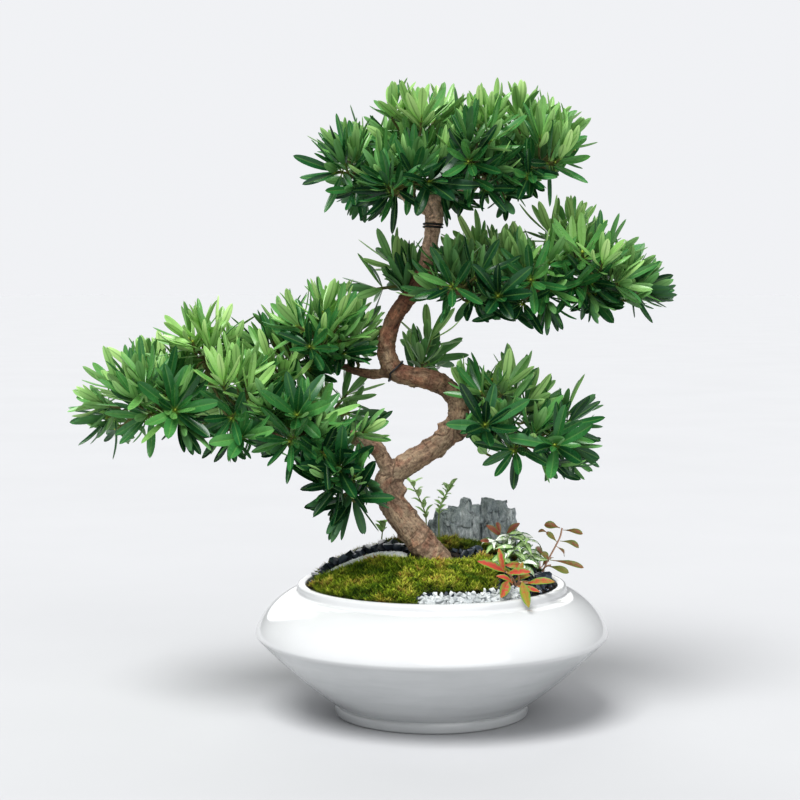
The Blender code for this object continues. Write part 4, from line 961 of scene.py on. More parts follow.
class Room:
    """The shapes placed so far, to keep leaves apart, sorted into a grid of cells."""

    def __init__(self):
        self.cells = {}

    def near(self, centre, reach):
        """The cells that a shape of this reach may lie in."""
        low = [int((centre[k] - reach) // GRID_CELL) for k in range(3)]
        high = [int((centre[k] + reach) // GRID_CELL) for k in range(3)]
        return [(i, j, k) for i in range(low[0], high[0] + 1) for j in range(low[1], high[1] + 1)
                for k in range(low[2], high[2] + 1)]

    def add(self, owner, shape):
        """Keeps a shape, under the name of the spray that owns it."""
        centre, reach = ball_round(shape[0])
        item = (owner, centre, reach, BVHTree.FromPolygons(*shape))
        for cell in self.near(centre, reach):
            self.cells.setdefault(cell, []).append(item)

    def is_free(self, owner, shape, wide_shape):
        """Whether a leaf clears its own spray, and all of the others by the gap."""
        centre, reach = ball_round(wide_shape[0])
        plain = None
        wide = None
        seen = set()
        for cell in self.near(centre, reach):
            for item in self.cells.get(cell, ()):
                other, place, size, tree = item
                if id(tree) in seen or (place - centre).length > reach + size:
                    continue
                seen.add(id(tree))
                if other == owner:
                    plain = plain or BVHTree.FromPolygons(*shape)
                    if plain.overlap(tree):
                        return False
                else:
                    wide = wide or BVHTree.FromPolygons(*wide_shape)
                    if wide.overlap(tree):
                        return False
        return True


def spray_twig(path, place, centre, aim):
    """A side twig from the bark of its branch to the spray's centre, where it runs along aim."""
    index = min(len(path) - 1, round(place * (len(path) - 1)))
    start, radius = path[index]
    tangent = direction(path, index)
    if index == len(path) - 1:
        out = tangent
        root = start + out * GAP
    else:
        out = square_to(tangent, centre - start)
        root = start + out * (radius + GAP)
    first = root + out * TWIG_STRAIGHT
    pull = CURVE_PULL * (centre - first).length
    points = [(root, TWIG_RADIUS), (first, TWIG_RADIUS)]
    for t in TWIG_CUTS:
        spot = curve_point(first, first + out * pull, centre - aim * pull, centre, t)
        points.append((spot, TWIG_RADIUS + (SHOOT_RADIUS - TWIG_RADIUS) * t))
    return points


def shoot_path(centre, lean, number, rng):
    """One of a spray's shoots, with two short rows for leaves, and the way it points."""
    axis = lean.normalized()
    side = axis.orthogonal().normalized()
    other = axis.cross(side)
    angle = rng.uniform(-SHOOT_SWAY, SHOOT_SWAY) + number * SHOOT_TURN
    outward = turned(side, other, angle)
    aim = (axis + outward * SHOOT_SPREAD + Vector((0, 0, SHOOT_RISE))).normalized()
    tip = centre + aim * (SHOOT_LENGTH * rng.uniform(*SHOOT_LENGTHS))
    return [(tip - aim * back, SHOOT_RADIUS, twist) for back, twist in SHOOT_RINGS], aim


def leaf_shows_well(leaf, outline):
    """Whether a leaf keeps inside its pad's outline, and off the bare wood, in the picture."""
    spots = [picture(leaf[0].lerp(leaf[1], part)) for part in (0.5, 1.0)]
    if not inside(spots[1], outline):
        return False
    return not any(inside(spot, bare) for spot in spots for bare in BARE_WOOD)


def slim(leaf):
    """A leaf with a narrower and thinner body, to test the room that a fine blade needs."""
    return leaf[:3] + (leaf[3] * SLIM_HULL, leaf[4] * SLIM_HULL, leaf[5])


def place_leaves(rings, rows, owner, room, rng, outline=None):
    """Leaves on the faces of a shoot's rows, each where there is room for it.

    Those with a pad's outline to stay inside are only in the finer foliage, and need less room.
    """
    lengths, widths, bends = LEAF_LENGTHS, LEAF_WIDTHS, LEAF_BENDS
    if outline:
        lengths, widths, bends = MORE_LENGTHS, MORE_WIDTHS, MORE_BENDS
    leaves = {}
    for segment, opening in rows:
        for k in range(SHOOT_SIDES):
            root, outward, axis = seat(rings, segment, k)
            for attempt in range(LEAF_TRIES):
                loose = FIRST_STRAY + ADDED_STRAY * attempt
                stray = Vector([rng.uniform(-loose, loose) for _ in range(3)])
                angle = math.radians(opening + rng.uniform(-OPENING_SWAY, OPENING_SWAY))
                aim = turned(axis, outward, angle) + stray
                length = LEAF_LENGTH * rng.uniform(*lengths)
                face_up = axis + Vector((0, 0, FACE_TILT)) - outward * FACE_TILT
                leaf = (root, root + aim.normalized() * length, face_up,
                        LEAF_WIDTH * rng.uniform(*widths), LEAF_THICKNESS, rng.uniform(*bends))
                if outline and not leaf_shows_well(leaf, outline):
                    continue
                if not outline and crosses_itself(rings, segment, k, leaf):
                    continue
                body = leaf_hull(slim(leaf) if outline else leaf)
                wide = body if outline else leaf_hull(leaf, GAP)
                if room.is_free(owner, body, wide):
                    room.add(owner, body)
                    leaves[(segment, k)] = leaf
                    break
    return leaves


def picture(point):
    """Where the camera sees a point, in the photograph's pixels."""
    apart = point - CAMERA_PLACE
    depth = apart.y * math.cos(CAMERA_PITCH) - apart.z * math.sin(CAMERA_PITCH)
    rise = apart.y * math.sin(CAMERA_PITCH) + apart.z * math.cos(CAMERA_PITCH)
    scale = PICTURE_WIDTH * CAMERA_LENS / SENSOR_WIDTH / depth
    return PICTURE_WIDTH / 2 + apart.x * scale, PICTURE_WIDTH / 2 - rise * scale


def from_picture(pixel, y):
    """The point that the camera sees at a pixel, at a depth y of the model."""
    across = (pixel[0] - PICTURE_WIDTH / 2) / (PICTURE_WIDTH * CAMERA_LENS / SENSOR_WIDTH)
    down = (pixel[1] - PICTURE_WIDTH / 2) / (PICTURE_WIDTH * CAMERA_LENS / SENSOR_WIDTH)
    ray = Vector((across, math.cos(CAMERA_PITCH) - down * math.sin(CAMERA_PITCH),
                  -math.sin(CAMERA_PITCH) - down * math.cos(CAMERA_PITCH)))
    return CAMERA_PLACE + ray * ((y - CAMERA_PLACE.y) / ray.y)


def inside(point, outline):
    """Whether a point lies inside a closed outline, by counting the edges it crosses."""
    x, y = point
    odd = False
    for (x1, y1), (x2, y2) in zip(outline, outline[1:] + outline[:1]):
        if (y1 > y) != (y2 > y) and x < x1 + (y - y1) * (x2 - x1) / (y2 - y1):
            odd = not odd
    return odd


class Shoot:
    """A shoot of the foliage: its rings, its leaves, the way it points, and a change of tint."""

    def __init__(self, rings, leaves, aim, tint=0.0):
        self.rings = rings
        self.leaves = leaves
        self.aim = aim
        self.tint = tint
        self.tip = middle_of(rings[-1])


def grow_foliage(paths):
    """Every spray as its shoots with their leaves, first as in the solids, then with the rest."""
    room = Room()
    for name, path in paths.items():
        sides = TRUNK_SIDES if name == "trunk" else BRANCH_SIDES
        room.add("trunk", tube_shape(tube_rings(path, sides)))
    sprays = {}
    for seed, (name, (branch, place, centre, lean)) in enumerate(SPRAYS.items()):
        rng = random.Random(seed)
        centre = Vector(centre)
        shoots = []
        for number in range(SHOOTS_PER_SPRAY):
            shoot, aim = shoot_path(centre, Vector(lean), number, rng)
            if number == 0:
                shoot = spray_twig(paths[branch], place, centre, aim) + shoot
            else:
                start = centre - aim * SIDE_SHOOT_BACK
                shoot = [(start, SHOOT_RADIUS * SIDE_SHOOT_SCALE)] + shoot
            rings = tube_rings(shoot, SHOOT_SIDES)
            room.add(name, tube_shape(rings))
            shoots.append((rings, aim))
        sprays[name] = shoots
    foliage = {}
    for seed, (name, shoots) in enumerate(sprays.items()):
        rng = random.Random(SEEDS["leaves"] + seed)
        foliage[name] = []
        for rings, aim in shoots:
            top = len(rings) - 2
            rows = [(top - 2, LOW_ROW_OPENING), (top, TOP_ROW_OPENING)]
            foliage[name].append(Shoot(rings, place_leaves(rings, rows, name, room, rng), aim))
    add_facing(foliage, room)
    add_chosen(foliage, room)
    add_shoots(foliage, room)
    return foliage


def pad_of(name):
    """The pad that a spray belongs to."""
    return name.rsplit("_", 1)[0]


def bare_shoot(start, hub, aim, leave):
    """Rings of a thin shoot that curves from start to its hub, with rows for leaves at its end."""
    path = []
    radius = SHOOT_RADIUS * BARE_SCALE
    foot = hub - aim * (MORE_RINGS[0][0] + 1.0)
    pull = CURVE_PULL * (foot - start).length
    for t in BARE_CUTS:
        path.append((curve_point(start, start + leave * pull, foot - aim * pull, foot, t), radius))
    path += [(hub - aim * back, radius, twist) for back, twist in MORE_RINGS]
    return tube_rings(path, SHOOT_SIDES)


def facing_leaves(rings, owner, room, rng):
    """One wide row of longer leaves round the end of a shoot, at even angles."""
    leaves = {}
    centre = (sum(rings[-1], Vector()) + sum(rings[-2], Vector())) / (2 * SHOOT_SIDES)
    axis = seat(rings, len(rings) - 2, 0)[2]
    side = axis.orthogonal().normalized()
    other = axis.cross(side)
    start = rng.uniform(0, math.tau)
    for k in range(FACING_LEAVES):
        for attempt in range(LEAF_TRIES):
            part = k + rng.uniform(-FACING_SWAY, FACING_SWAY)
            outward = turned(side, other, start + math.tau * part / FACING_LEAVES)
            opening = FACING_OPENING + rng.uniform(*FACING_OPENINGS) - FACING_FOLD * (k % 2)
            aim = turned(axis, outward, math.radians(opening))
            shrink = 1.0 - FACING_SHRINK * attempt
            length = FACING_LENGTH * rng.uniform(*FACING_LENGTHS) * shrink
            root = centre + outward * SHOOT_RADIUS * FACING_ROOT
            leaf = (root, root + aim * length, axis, FACING_WIDTH * rng.uniform(*FACING_WIDTHS),
                    FACING_THICKNESS, rng.uniform(*FACING_BENDS))
            if not inside(picture(leaf[1]), PADS[pad_of(owner)]):
                continue
            body = leaf_hull(slim(leaf))
            if room.is_free(owner, body, body):
                room.add(owner, body)
                leaves[("facing", k)] = leaf
                break
    return leaves


def add_facing(foliage, room):
    """The wide whorls that the photograph shows from the front, each on a twig of its spray."""
    for number, (name, pixel, depth) in enumerate(FACING):
        rng = random.Random(SEEDS["facing"] + number)
        hub = from_picture(pixel, depth)
        centre, lean = (Vector(values) for values in SPRAYS[name][2:])
        aim = (CAMERA_PLACE - hub).normalized() + Vector((
            rng.uniform(-FACING_AIM_SWAY, FACING_AIM_SWAY), 0, FACING_LIFT))
        aim.normalize()
        rings = bare_shoot(centre, hub, aim, lean.normalized())
        leaves = facing_leaves(rings, name, room, rng)
        room.add(name, tube_shape(rings))
        rows = [(len(rings) - 2, FACING_INNER_OPENING)]
        leaves.update(place_leaves(rings, rows, name, room, rng, PADS[pad_of(name)]))
        foliage[name].append(Shoot(rings, leaves, aim, FACING_TINT))


def add_leafy_shoot(foliage, room, name, hub, aim, leave, rows, rng, tint=0.0):
    """A shoot from a spray's centre to its hub, with rows of leaves counted back from its end."""
    rings = bare_shoot(Vector(SPRAYS[name][2]), hub, aim, leave)
    room.add(name, tube_shape(rings))
    rows = [(len(rings) - 2 - back, opening) for back, opening in rows]
    leaves = place_leaves(rings, rows, name, room, rng, PADS[pad_of(name)])
    foliage[name].append(Shoot(rings, leaves, aim, tint))


def add_chosen(foliage, room):
    """Upright or outward shoots at places that the photograph shows."""
    for number, (name, pixel, depth, aim) in enumerate(CHOSEN_SHOOTS):
        hub = from_picture(pixel, depth)
        lean = Vector(SPRAYS[name][3]).normalized()
        add_leafy_shoot(foliage, room, name, hub, Vector(aim).normalized(), lean, MORE_ROWS,
                        random.Random(SEEDS["chosen"] + number), CHOSEN_TINT)


def add_shoots(foliage, room):
    """More shoots in each spray, where they stay inside their pad's outline, apart from others."""
    hubs = [shoot.tip for shoots in foliage.values() for shoot in shoots]
    for seed, (name, (_, _, centre, lean)) in enumerate(SPRAYS.items()):
        rng = random.Random(SEEDS["more"] + seed)
        centre = Vector(centre)
        lean = Vector(lean).normalized()
        for number in range(MORE_SHOOTS[pad_of(name)]):
            for attempt in range(PLACE_TRIES):
                away = any_way(rng)
                hub = centre + away * MORE_REACH * rng.uniform(*MORE_HUBS) + lean * HUB_SHIFT
                climb = HIGH_CLIMB if away.z > LOW_BELOW else LOW_CLIMB
                aim = (lean * LEAN_PULL + away * AWAY_PULL + UP * climb).normalized()
                if min((hub - other).length for other in hubs) < HUB_SPACING:
                    continue
                if inside(picture(hub + aim * LEAF_LENGTH * SHOWN_PART), PADS[pad_of(name)]):
                    break
            else:
                continue
            hubs.append(hub)
            rows = MORE_ROWS if climb == HIGH_CLIMB else LOW_ROWS
            add_leafy_shoot(foliage, room, name, hub, aim, (lean + away).normalized(), rows, rng)


def blade(piece, leaf, outline, tint, slot=0, thickness=BLADE_THICKNESS, roll=0.0):
    """One fine leaf: a thin closed blade with a sunken midrib, folded and bent as its leaf says."""
    root, tip, face_up, width, _, bend = leaf
    way = tip - root
    length = way.length
    way.normalize()
    flat_up = square_to(way, face_up)
    flat_across = flat_up.cross(way)
    up = turned(flat_up, flat_across, roll)
    across = turned(flat_across, -flat_up, roll)
    corners = []
    edges = []
    alongs = []
    for t, spread in outline:
        half = width / 2 * spread
        spine = root + way * (length * t) + up * (bend * math.sin(math.pi * t ** BEND_SKEW))
        if spread == 0.0:
            corners.append(spine)
            edges.append(TIP_EDGE)
            alongs.append(t)
            continue
        rib = min(RIB_HALF, half * RIB_PART)
        edge_lift = LEAF_FOLD * half
        inner_lift = edge_lift * rib / half
        thick = thickness * (0.5 + 0.5 * spread)
        corners += [spine - across * half + up * edge_lift, spine - across * rib + up * inner_lift,
                    spine - up * RIB_DEPTH, spine + across * rib + up * inner_lift,
                    spine + across * half + up * edge_lift, spine - up * thick]
        edges += RING_EDGES
        alongs += [t] * len(RING_EDGES)
    pairs = ((1, 0), (2, 1), (3, 2), (4, 3), (5, 4), (0, 5))
    faces = [(0, 1, 2, 3, 4, 5)]
    under = [1.0]
    last = (len(outline) - 2) * 6
    for low in range(0, last, 6):
        faces += [(low + a, low + b, low + b + 6, low + a + 6) for a, b in pairs]
        under += [0.0] * 4 + [1.0] * 2
    end = len(corners) - 1
    faces += [(last + a, last + b, end) for a, b in pairs]
    under += [0.0] * 4 + [1.0] * 2
    piece.add(corners, faces, slot, tint, edges, alongs, under)


def ball(piece, centre, radius, stretch, tint, slot=0):
    """A small rounded bud or berry."""
    shape = bmesh.new()
    bmesh.ops.create_icosphere(shape, subdivisions=2, radius=radius)
    corners = [centre + vert.co + stretch * (vert.co.dot(stretch) / radius) for vert in shape.verts]
    faces = [tuple(vert.index for vert in face.verts) for face in shape.faces]
    shape.free()
    piece.add(corners, faces, slot, tint)


def thin_path(rings, scale):
    """The centres of rings, with their radii made smaller."""
    path = []
    for ring in rings:
        centre = middle_of(ring)
        path.append((centre, (ring[0] - centre).length * scale))
    return path


def shoot_tint(name, shoot, rng):
    """How young a shoot's leaves look, from 0 for dark to 1 for light, by its place in its pad:
    young growth high up, painted shade low down.
    """
    low, high = PAD_HEIGHTS[pad_of(name)]
    height = (shoot.tip.z - low) / (high - low)
    youth_and_shade = YOUNG_START + YOUTH_AND_SHADE_BY_HEIGHT * height + YOUNG_BY_AIM * shoot.aim.z
    return clamped(youth_and_shade + rng.uniform(*YOUNG_SWAY) + shoot.tint)


def make_foliage(foliage, finishes):
    """One piece for each spray: its shoots, fine leaves, buds and berries."""
    for number, (name, shoots) in enumerate(foliage.items()):
        rng = random.Random(SEEDS["tints"] + number)
        piece = Piece()
        for shoot in shoots:
            tint = shoot_tint(name, shoot, rng)
            piece.add_tube(thin_path(shoot.rings, TWIG_SCALE), SHOOT_CORNERS)
            for leaf in shoot.leaves.values():
                root, tip, face_up, width, thickness, bend = leaf
                inward = root - (tip - root).normalized() * LEAF_INSET
                fine = (inward, tip, face_up, width * FINE_WIDTH, thickness, bend)
                leaf_tint = clamped(tint + rng.gauss(0, LEAF_TINT_SWAY))
                blade(piece, fine, LEAF_OUTLINE, leaf_tint, roll=rng.gauss(0, ROLL_SWAY))
            ball(piece, shoot.tip + shoot.aim * 0.6, BUD_RADIUS, shoot.aim * 0.5, 1.0, 2)
        for spot, depth in BERRIES.get(name, ()):
            ball(piece, from_picture(spot, depth), BERRY_RADIUS, UP * 0.4, 0.5, 3)
        piece.make("foliage_" + name, finishes, ["spray_" + name])


def shoot_of_moss(piece, foot, lean, height, tint, rng):
    """One upright little moss shoot, with thin blades that open out like a star."""
    tip = foot + lean * height
    start = rng.uniform(0, math.tau)
    for k in range(MOSS_BLADES):
        angle = start + k * GOLDEN_TURN
        out = Vector((math.cos(angle), math.sin(angle), 0))
        part, rise, level = (low + span * k / MOSS_BLADES for low, span in MOSS_BLADE_SPANS)
        place = foot.lerp(tip, part)
        end = place + (out + lean * rise).normalized() * rng.uniform(*MOSS_BLADE_LENGTHS)
        side = lean.cross(out).normalized() * MOSS_BLADE_HALF
        # Painted shade: each blade is darker at its foot and keel, lighter at its tip
        piece.add([place - side, place + side, place - lean * MOSS_BLADE_DEPTH, end],
                  [(1, 0, 3), (0, 2, 3), (2, 1, 3), (0, 1, 2)], tint=tint,
                  edge=[level * 0.5, level * 0.5, level * 0.2, min(1.0, level + 0.4)])


def ground(x, y):
    """Height of the soil's surface."""
    rho = (x * x + y * y) / GROUND_RADIUS ** 2
    skew = 1 + (GROUND_SKEW[1] * y + GROUND_SKEW[0] * x) / GROUND_RADIUS
    return RIM_GROUND + MOUND_HEIGHT * (1 - rho) * skew


def on_ground(x, y, lift):
    """The point this far above the soil's surface."""
    return Vector((x, y, ground(x, y) + lift))


def edge_distance(point, outlines):
    """Distance from a point to the nearest edge of the outlines."""
    best = 1e9
    spot = Vector(point)
    for outline in outlines:
        for start, end in zip(outline, outline[1:] + outline[:1]):
            a = Vector(start)
            run = Vector(end) - a
            t = max(0.0, min(1.0, (spot - a).dot(run) / run.length_squared))
            best = min(best, (a + run * t - spot).length)
    return best


def subdivided(outline, cell):
    """The outline with its long edges split to about the cell's size."""
    result = []
    for start, end in zip(outline, outline[1:] + outline[:1]):
        count = max(1, round((Vector(end) - Vector(start)).length / cell))
        for k in range(count):
            result.append(tuple(Vector(start).lerp(Vector(end), k / count)))
    return result


def in_field(spot, outline, holes):
    """Whether a spot lies inside an outline and outside its holes."""
    return inside(spot, outline) and not any(inside(spot, hole) for hole in holes)


def layer(outline, holes, cell, top):
    """A closed sheet that lies on the ground, with a formula for the height of its top."""
    rings = [subdivided(outline, cell)] + [subdivided(hole, cell) for hole in holes]
    spots = [spot for ring in rings for spot in ring]
    edges = []
    start = 0
    for ring in rings:
        edges += [(start + k, start + (k + 1) % len(ring)) for k in range(len(ring))]
        start += len(ring)
    row_height = cell * math.sqrt(0.75)
    xs = [x for x, y in outline]
    ys = [y for x, y in outline]
    for row in range(int(min(ys) / row_height) - 1, int(max(ys) / row_height) + 2):
        for column in range(int(min(xs) / cell) - 1, int(max(xs) / cell) + 2):
            spot = ((column + 0.5 * (row % 2)) * cell, row * row_height)
            if in_field(spot, outline, holes):
                if edge_distance(spot, [outline] + holes) > 0.5 * cell:
                    spots.append(spot)
    plan = delaunay_2d_cdt([Vector(spot) for spot in spots], edges, [], 0, 1e-5)
    flat = plan[0]
    count = len(flat)
    corners = [on_ground(x, y, GAP) for x, y in flat]
    for x, y in flat:
        edge = edge_distance((x, y), [outline] + holes)
        corners.append(Vector((x, y, top(x, y, edge))))
    faces = []
    directed = set()
    for a, b, c in plan[2]:
        if (flat[b] - flat[a]).cross(flat[c] - flat[a]) < 0:
            b, c = c, b
        middle = (flat[a] + flat[b] + flat[c]) / 3
        if in_field(middle, outline, holes):
            faces += [(a + count, b + count, c + count), (c, b, a)]
            directed.update(((a, b), (b, c), (c, a)))
    for a, b in sorted(directed):
        if (b, a) not in directed:
            faces.append((a, b, b + count, a + count))
    return corners, faces


def moss_height(x, y, edge):
    """The cushion under the moss shoots, in soft uneven pillows."""
    pillow = 1.0 - abs(noise.noise(Vector((x, y, 0)) * PILLOW_SCALE)) * 2.0
    swell = pillow * PILLOW_HEIGHT + noise.noise(Vector((x, y, 9)) * SWELL_SCALE)
    rise = MOSS_EDGE_HEIGHT + MOSS_RISE * min(1.0, edge / MOSS_RISE_REACH) ** 0.5
    return ground(x, y) + rise + swell * min(1.0, edge / MOSS_SWELL_REACH)


def make_moss(name, outline, holes, finish):
    """A cushion on the ground, covered in little moss shoots, with a few that stray off it."""
    seed = SEEDS[name]
    rng = random.Random(seed)
    piece = Piece()
    shape = layer(outline, holes, MOSS_CELL, moss_height)
    # The cushion under the shoots lies in full painted shade
    piece.add(*shape, tint=0.3, edge=[0.0] * len(shape[0]))
    rings = [outline] + holes
    spots = scatter(outline, 0.0, MOSS_COUNTS[name], rng, holes)
    strays = scatter(SAND, 0.0, MOSS_STRAYS, rng)
    spots += [spot for spot in strays if edge_distance(spot, [outline]) < MOSS_STRAY_REACH]
    for x, y in spots:
        edge = edge_distance((x, y), rings) if inside((x, y), outline) else 0.0
        foot = Vector((x, y, moss_height(x, y, edge) - MOSS_ROOT))
        patch = (noise.noise(Vector((x, y, seed)) * MOSS_PATCH_SCALES[0])
                 + MOSS_PATCH_MIX * noise.noise(Vector((x, y, 5)) * MOSS_PATCH_SCALES[1]))
        place = foot * MOSS_LEAN_SCALE
        leans = [noise.noise(spot) * MOSS_LEAN + rng.gauss(0, MOSS_LEAN_SWAY)
                 for spot in (place, place + Vector((7, 3, 1)))]
        lean = Vector((*leans, 1.0))
        height = rng.uniform(*MOSS_HEIGHTS) * (1.0 + MOSS_PATCH_RISE * patch)
        height *= min(1.0, MOSS_EDGE_PART + edge / MOSS_RISE_REACH)
        tint = clamped(MOSS_TINT + MOSS_PATCH_TINT * patch + rng.gauss(0, MOSS_TINT_SWAY))
        shoot_of_moss(piece, foot, lean.normalized(), height, tint, rng)
    piece.make(name + "_blades", [finish], [name], 30)


def chip(piece, centre, size, rng, flat=0.8, tint=0.5, turn=None, count=CHIP_CORNERS):
    """One small angular stone: the hull of a few random corners, pressed flat along turn."""
    shape = bmesh.new()
    turn = turn or any_way(rng)
    for k in range(count):
        local = any_way(rng) * size * rng.uniform(*CHIP_SPREAD)
        shape.verts.new(local - turn * (local.dot(turn) * (1 - flat)))
    hull = bmesh.ops.convex_hull(shape, input=shape.verts)
    spare = [item for item in hull["geom_interior"] if isinstance(item, bmesh.types.BMVert)]
    bmesh.ops.delete(shape, geom=spare, context="VERTS")
    bmesh.ops.recalc_face_normals(shape, faces=shape.faces)
    shape.verts.index_update()
    corners = [centre + vert.co for vert in shape.verts]
    faces = [tuple(vert.index for vert in face.verts) for face in shape.faces]
    shape.free()
    piece.add(corners, faces, 0, tint)


def scatter(outline, spacing, count, rng, holes=()):
    """Random spots inside an outline and outside its holes that keep apart."""
    xs = [x for x, y in outline]
    ys = [y for x, y in outline]
    spots = []
    for attempt in range(count * 20):
        spot = Vector((rng.uniform(min(xs), max(xs)), rng.uniform(min(ys), max(ys))))
        if not in_field(spot, outline, holes):
            continue
        if spacing == 0.0 or all((spot - other).length > spacing for other in spots):
            spots.append(spot)
            if len(spots) == count:
                break
    return spots


def make_gravel(finish):
    """Angular white chips along the rim, a little spilt over the moss."""
    rng = random.Random(SEEDS["gravel"])
    piece = Piece()
    bed = layer(GRAVEL, [], GRAVEL_CELL, lambda x, y, edge: ground(x, y) + GRAVEL_HEIGHT)
    piece.add(*bed, tint=0.3)
    for lift, spacing, count in GRAVEL_ROUNDS:
        for x, y in scatter(GRAVEL, spacing, count, rng):
            size = rng.uniform(*GRAVEL_SIZES)
            chip(piece, on_ground(x, y, lift), size, rng, rng.uniform(*GRAVEL_FLATS),
                 rng.uniform(0.0, 1.0))
    piece.make("gravel_chips", [finish], ["white_gravel"], 10)


def make_litter(earth, slate):
    """Small dark chips and crumbs of earth on the bare ground between the rest."""
    covered = [MOSS_FRONT, MOSS_BACK, SAND, GRAVEL, ROCK_BED, TRUNK_FOOT]
    rng = random.Random(SEEDS["litter"])
    chips = Piece()
    for x, y in scatter(OPEN_GROUND, SHARD_SPACING, SHARDS, rng, covered):
        size = rng.uniform(*SHARD_SIZES)
        chip(chips, on_ground(x, y, size * SHARD_LIFT), size, rng, SHARD_FLAT, rng.random())
    chips.make("slate_chips", [slate], (), 12)
    crumbs = Piece()
    for x, y in scatter(OPEN_GROUND, CRUMB_SPACING, CRUMBS, rng, covered):
        chip(crumbs, on_ground(x, y, CRUMB_LIFT), rng.uniform(*CRUMB_SIZES), rng,
             tint=rng.random())
    crumbs.make("earth_crumbs", [earth], (), 20)


def sand_height(x, y, edge):
    """The top of the sand, which runs out thin at its edge."""
    grain = sum(noise.noise(Vector((x, y, z)) * scale) * height
                for z, scale, height in SAND_NOISES)
    return ground(x, y) + SAND_HEIGHT + min(edge, SAND_EDGE) * SAND_SLOPE + grain * min(1.0, edge)


def make_sand(finish):
    """The strip of white sand, with single grains on it."""
    piece = Piece()
    bed = layer(SAND, [], SAND_CELL, sand_height)
    piece.add(*bed, tint=0.5)
    rng = random.Random(SEEDS["sand"])
    for x, y in scatter(SAND, SAND_SPACING, SAND_GRAINS, rng):
        centre = Vector((x, y, sand_height(x, y, edge_distance((x, y), [SAND]))))
        chip(piece, centre, rng.uniform(*SAND_SIZES), rng, tint=rng.random())
    piece.make("sand_grains", [finish], ["white_sand"], 40)


def make_slates(finish):
    """The dark slate pebbles, broken and angular, wet enough to shine."""
    rng = random.Random(SEEDS["slates"])
    for name, stones in SLATES.items():
        piece = Piece()
        for x, y, size in stones:
            for k, part in enumerate(SLATE_PARTS):
                stray = size * SLATE_SCATTER if k else 0.0
                u = x + rng.uniform(-stray, stray)
                v = y + rng.uniform(-stray, stray)
                radius = size * part * rng.uniform(*SLATE_SIZES)
                tilts = [rng.gauss(0, SLATE_TILT) for _ in range(2)]
                turn = Vector((*tilts, 1.0)).normalized()
                lift = GAP + radius * SLATE_LIFT + min(k, 1) * size * SLATE_STEP
                chip(piece, on_ground(u, v, lift), radius, rng, rng.uniform(*SLATE_FLATS),
                     rng.random(), turn, SLATE_CORNERS)
        piece.make(name + "_stones", [finish], [name], 33)


def slab(x, y, half_x, half_y, top, rng):
    """One upright layer of a rock: a pillar with a few uneven sides and a broken top."""
    sides = SLAB_SIDES
    wobble = [rng.uniform(*SLAB_WOBBLE) for _ in range(sides)]
    corners = []
    faces = []
    for level, (height, spread) in enumerate(SLAB_LEVELS):
        for k in range(sides):
            angle = math.tau * k / sides
            stretch = wobble[k] * spread * rng.uniform(*SLAB_SWAY)
            u = x + half_x * stretch * math.cos(angle)
            v = y + half_y * stretch * math.sin(angle)
            low = ground(u, v) + GAP + SLAB_LIFT
            drop = rng.uniform(0, SLAB_DROP) if level else 0.0
            corners.append(Vector((u, v, low + (top - low) * height - drop)))
        if level:
            for k in range(sides):
                after = (k + 1) % sides
                under = (level - 1) * sides
                over = level * sides
                faces.append((under + k, under + after, over + after, over + k))
    corners.append(Vector((x, y, ground(x, y) + GAP + SLAB_LIFT)))
    middle = len(corners) - 1
    for k in range(sides):
        faces.append((middle, (k + 1) % sides, k))
    faces.append(tuple(range(middle - sides, middle)))
    return corners, faces


def remeshed(name, shapes, voxel, finish, rounds=0):
    """One skin round several closed shapes that sink into each other, smoothed in a few rounds."""
    piece = Piece()
    for shape in shapes:
        piece.add(*shape)
    rough = in_scene(name + "_rough", new_mesh(name, piece.corners, piece.faces))
    skin = rough.modifiers.new("skin", "REMESH")
    skin.mode = "VOXEL"
    skin.voxel_size = voxel * MM
    if rounds:
        rough.modifiers.new("softer", "SMOOTH").iterations = rounds
    graph = bpy.context.evaluated_depsgraph_get()
    result = bpy.data.meshes.new_from_object(rough.evaluated_get(graph))
    bpy.data.objects.remove(rough, do_unlink=True)
    result.materials.clear()
    result.materials.append(finish)
    return result


def rock_relief(spot, normal):
    """How far a rock's skin stands out at a spot, and how near it is to a crack, from 0 to 1."""
    slanted = Vector((spot.x + spot.z * PLATE_SLANT, spot.y * PLATE_STRETCH[0],
                      spot.z * PLATE_STRETCH[1] - spot.x * PLATE_DIP))
    warp = noise.noise_vector(spot * PLATE_WARP[0]) * PLATE_WARP[1]
    distances, points = noise.voronoi(slanted * PLATE_SCALE + warp)
    plate = noise.cell(points[0] * PLATE_MIX)
    crack = min(1.0, (distances[1] - distances[0]) / CRACK_WIDTH)
    chips = noise.fractal(spot * CHIP_SCALE, *CHIP_NOISE)
    side = 1 - TOP_CALM * max(0.0, normal.z)
    height = plate * PLATE_RELIEF - (1 - crack) * CRACK_RELIEF + chips * CHIP_RELIEF
    return height * side, crack


def make_rocks(finish):
    """Two grey rocks with upright layers, split and chipped along slanting cracks."""
    rng = random.Random(SEEDS["rocks"])
    for name, slabs in ROCKS.items():
        shapes = [slab(*values, rng) for values in slabs]
        mesh = remeshed(name, shapes, ROCK_VOXEL, finish, ROCK_ROUNDS)
        reliefs = [rock_relief(vert.co / MM, vert.normal) for vert in mesh.vertices]
        moves = [vert.normal * (height * MM) for vert, (height, _) in zip(mesh.vertices, reliefs)]
        for vert, move in zip(mesh.vertices, moves):
            vert.co += move
        give_values(mesh, "edge", [crack for _, crack in reliefs])
        mesh.shade_smooth()
        mesh.set_sharp_from_angle(angle=math.radians(30))
        place_piece(name + "_stone", mesh, [name])


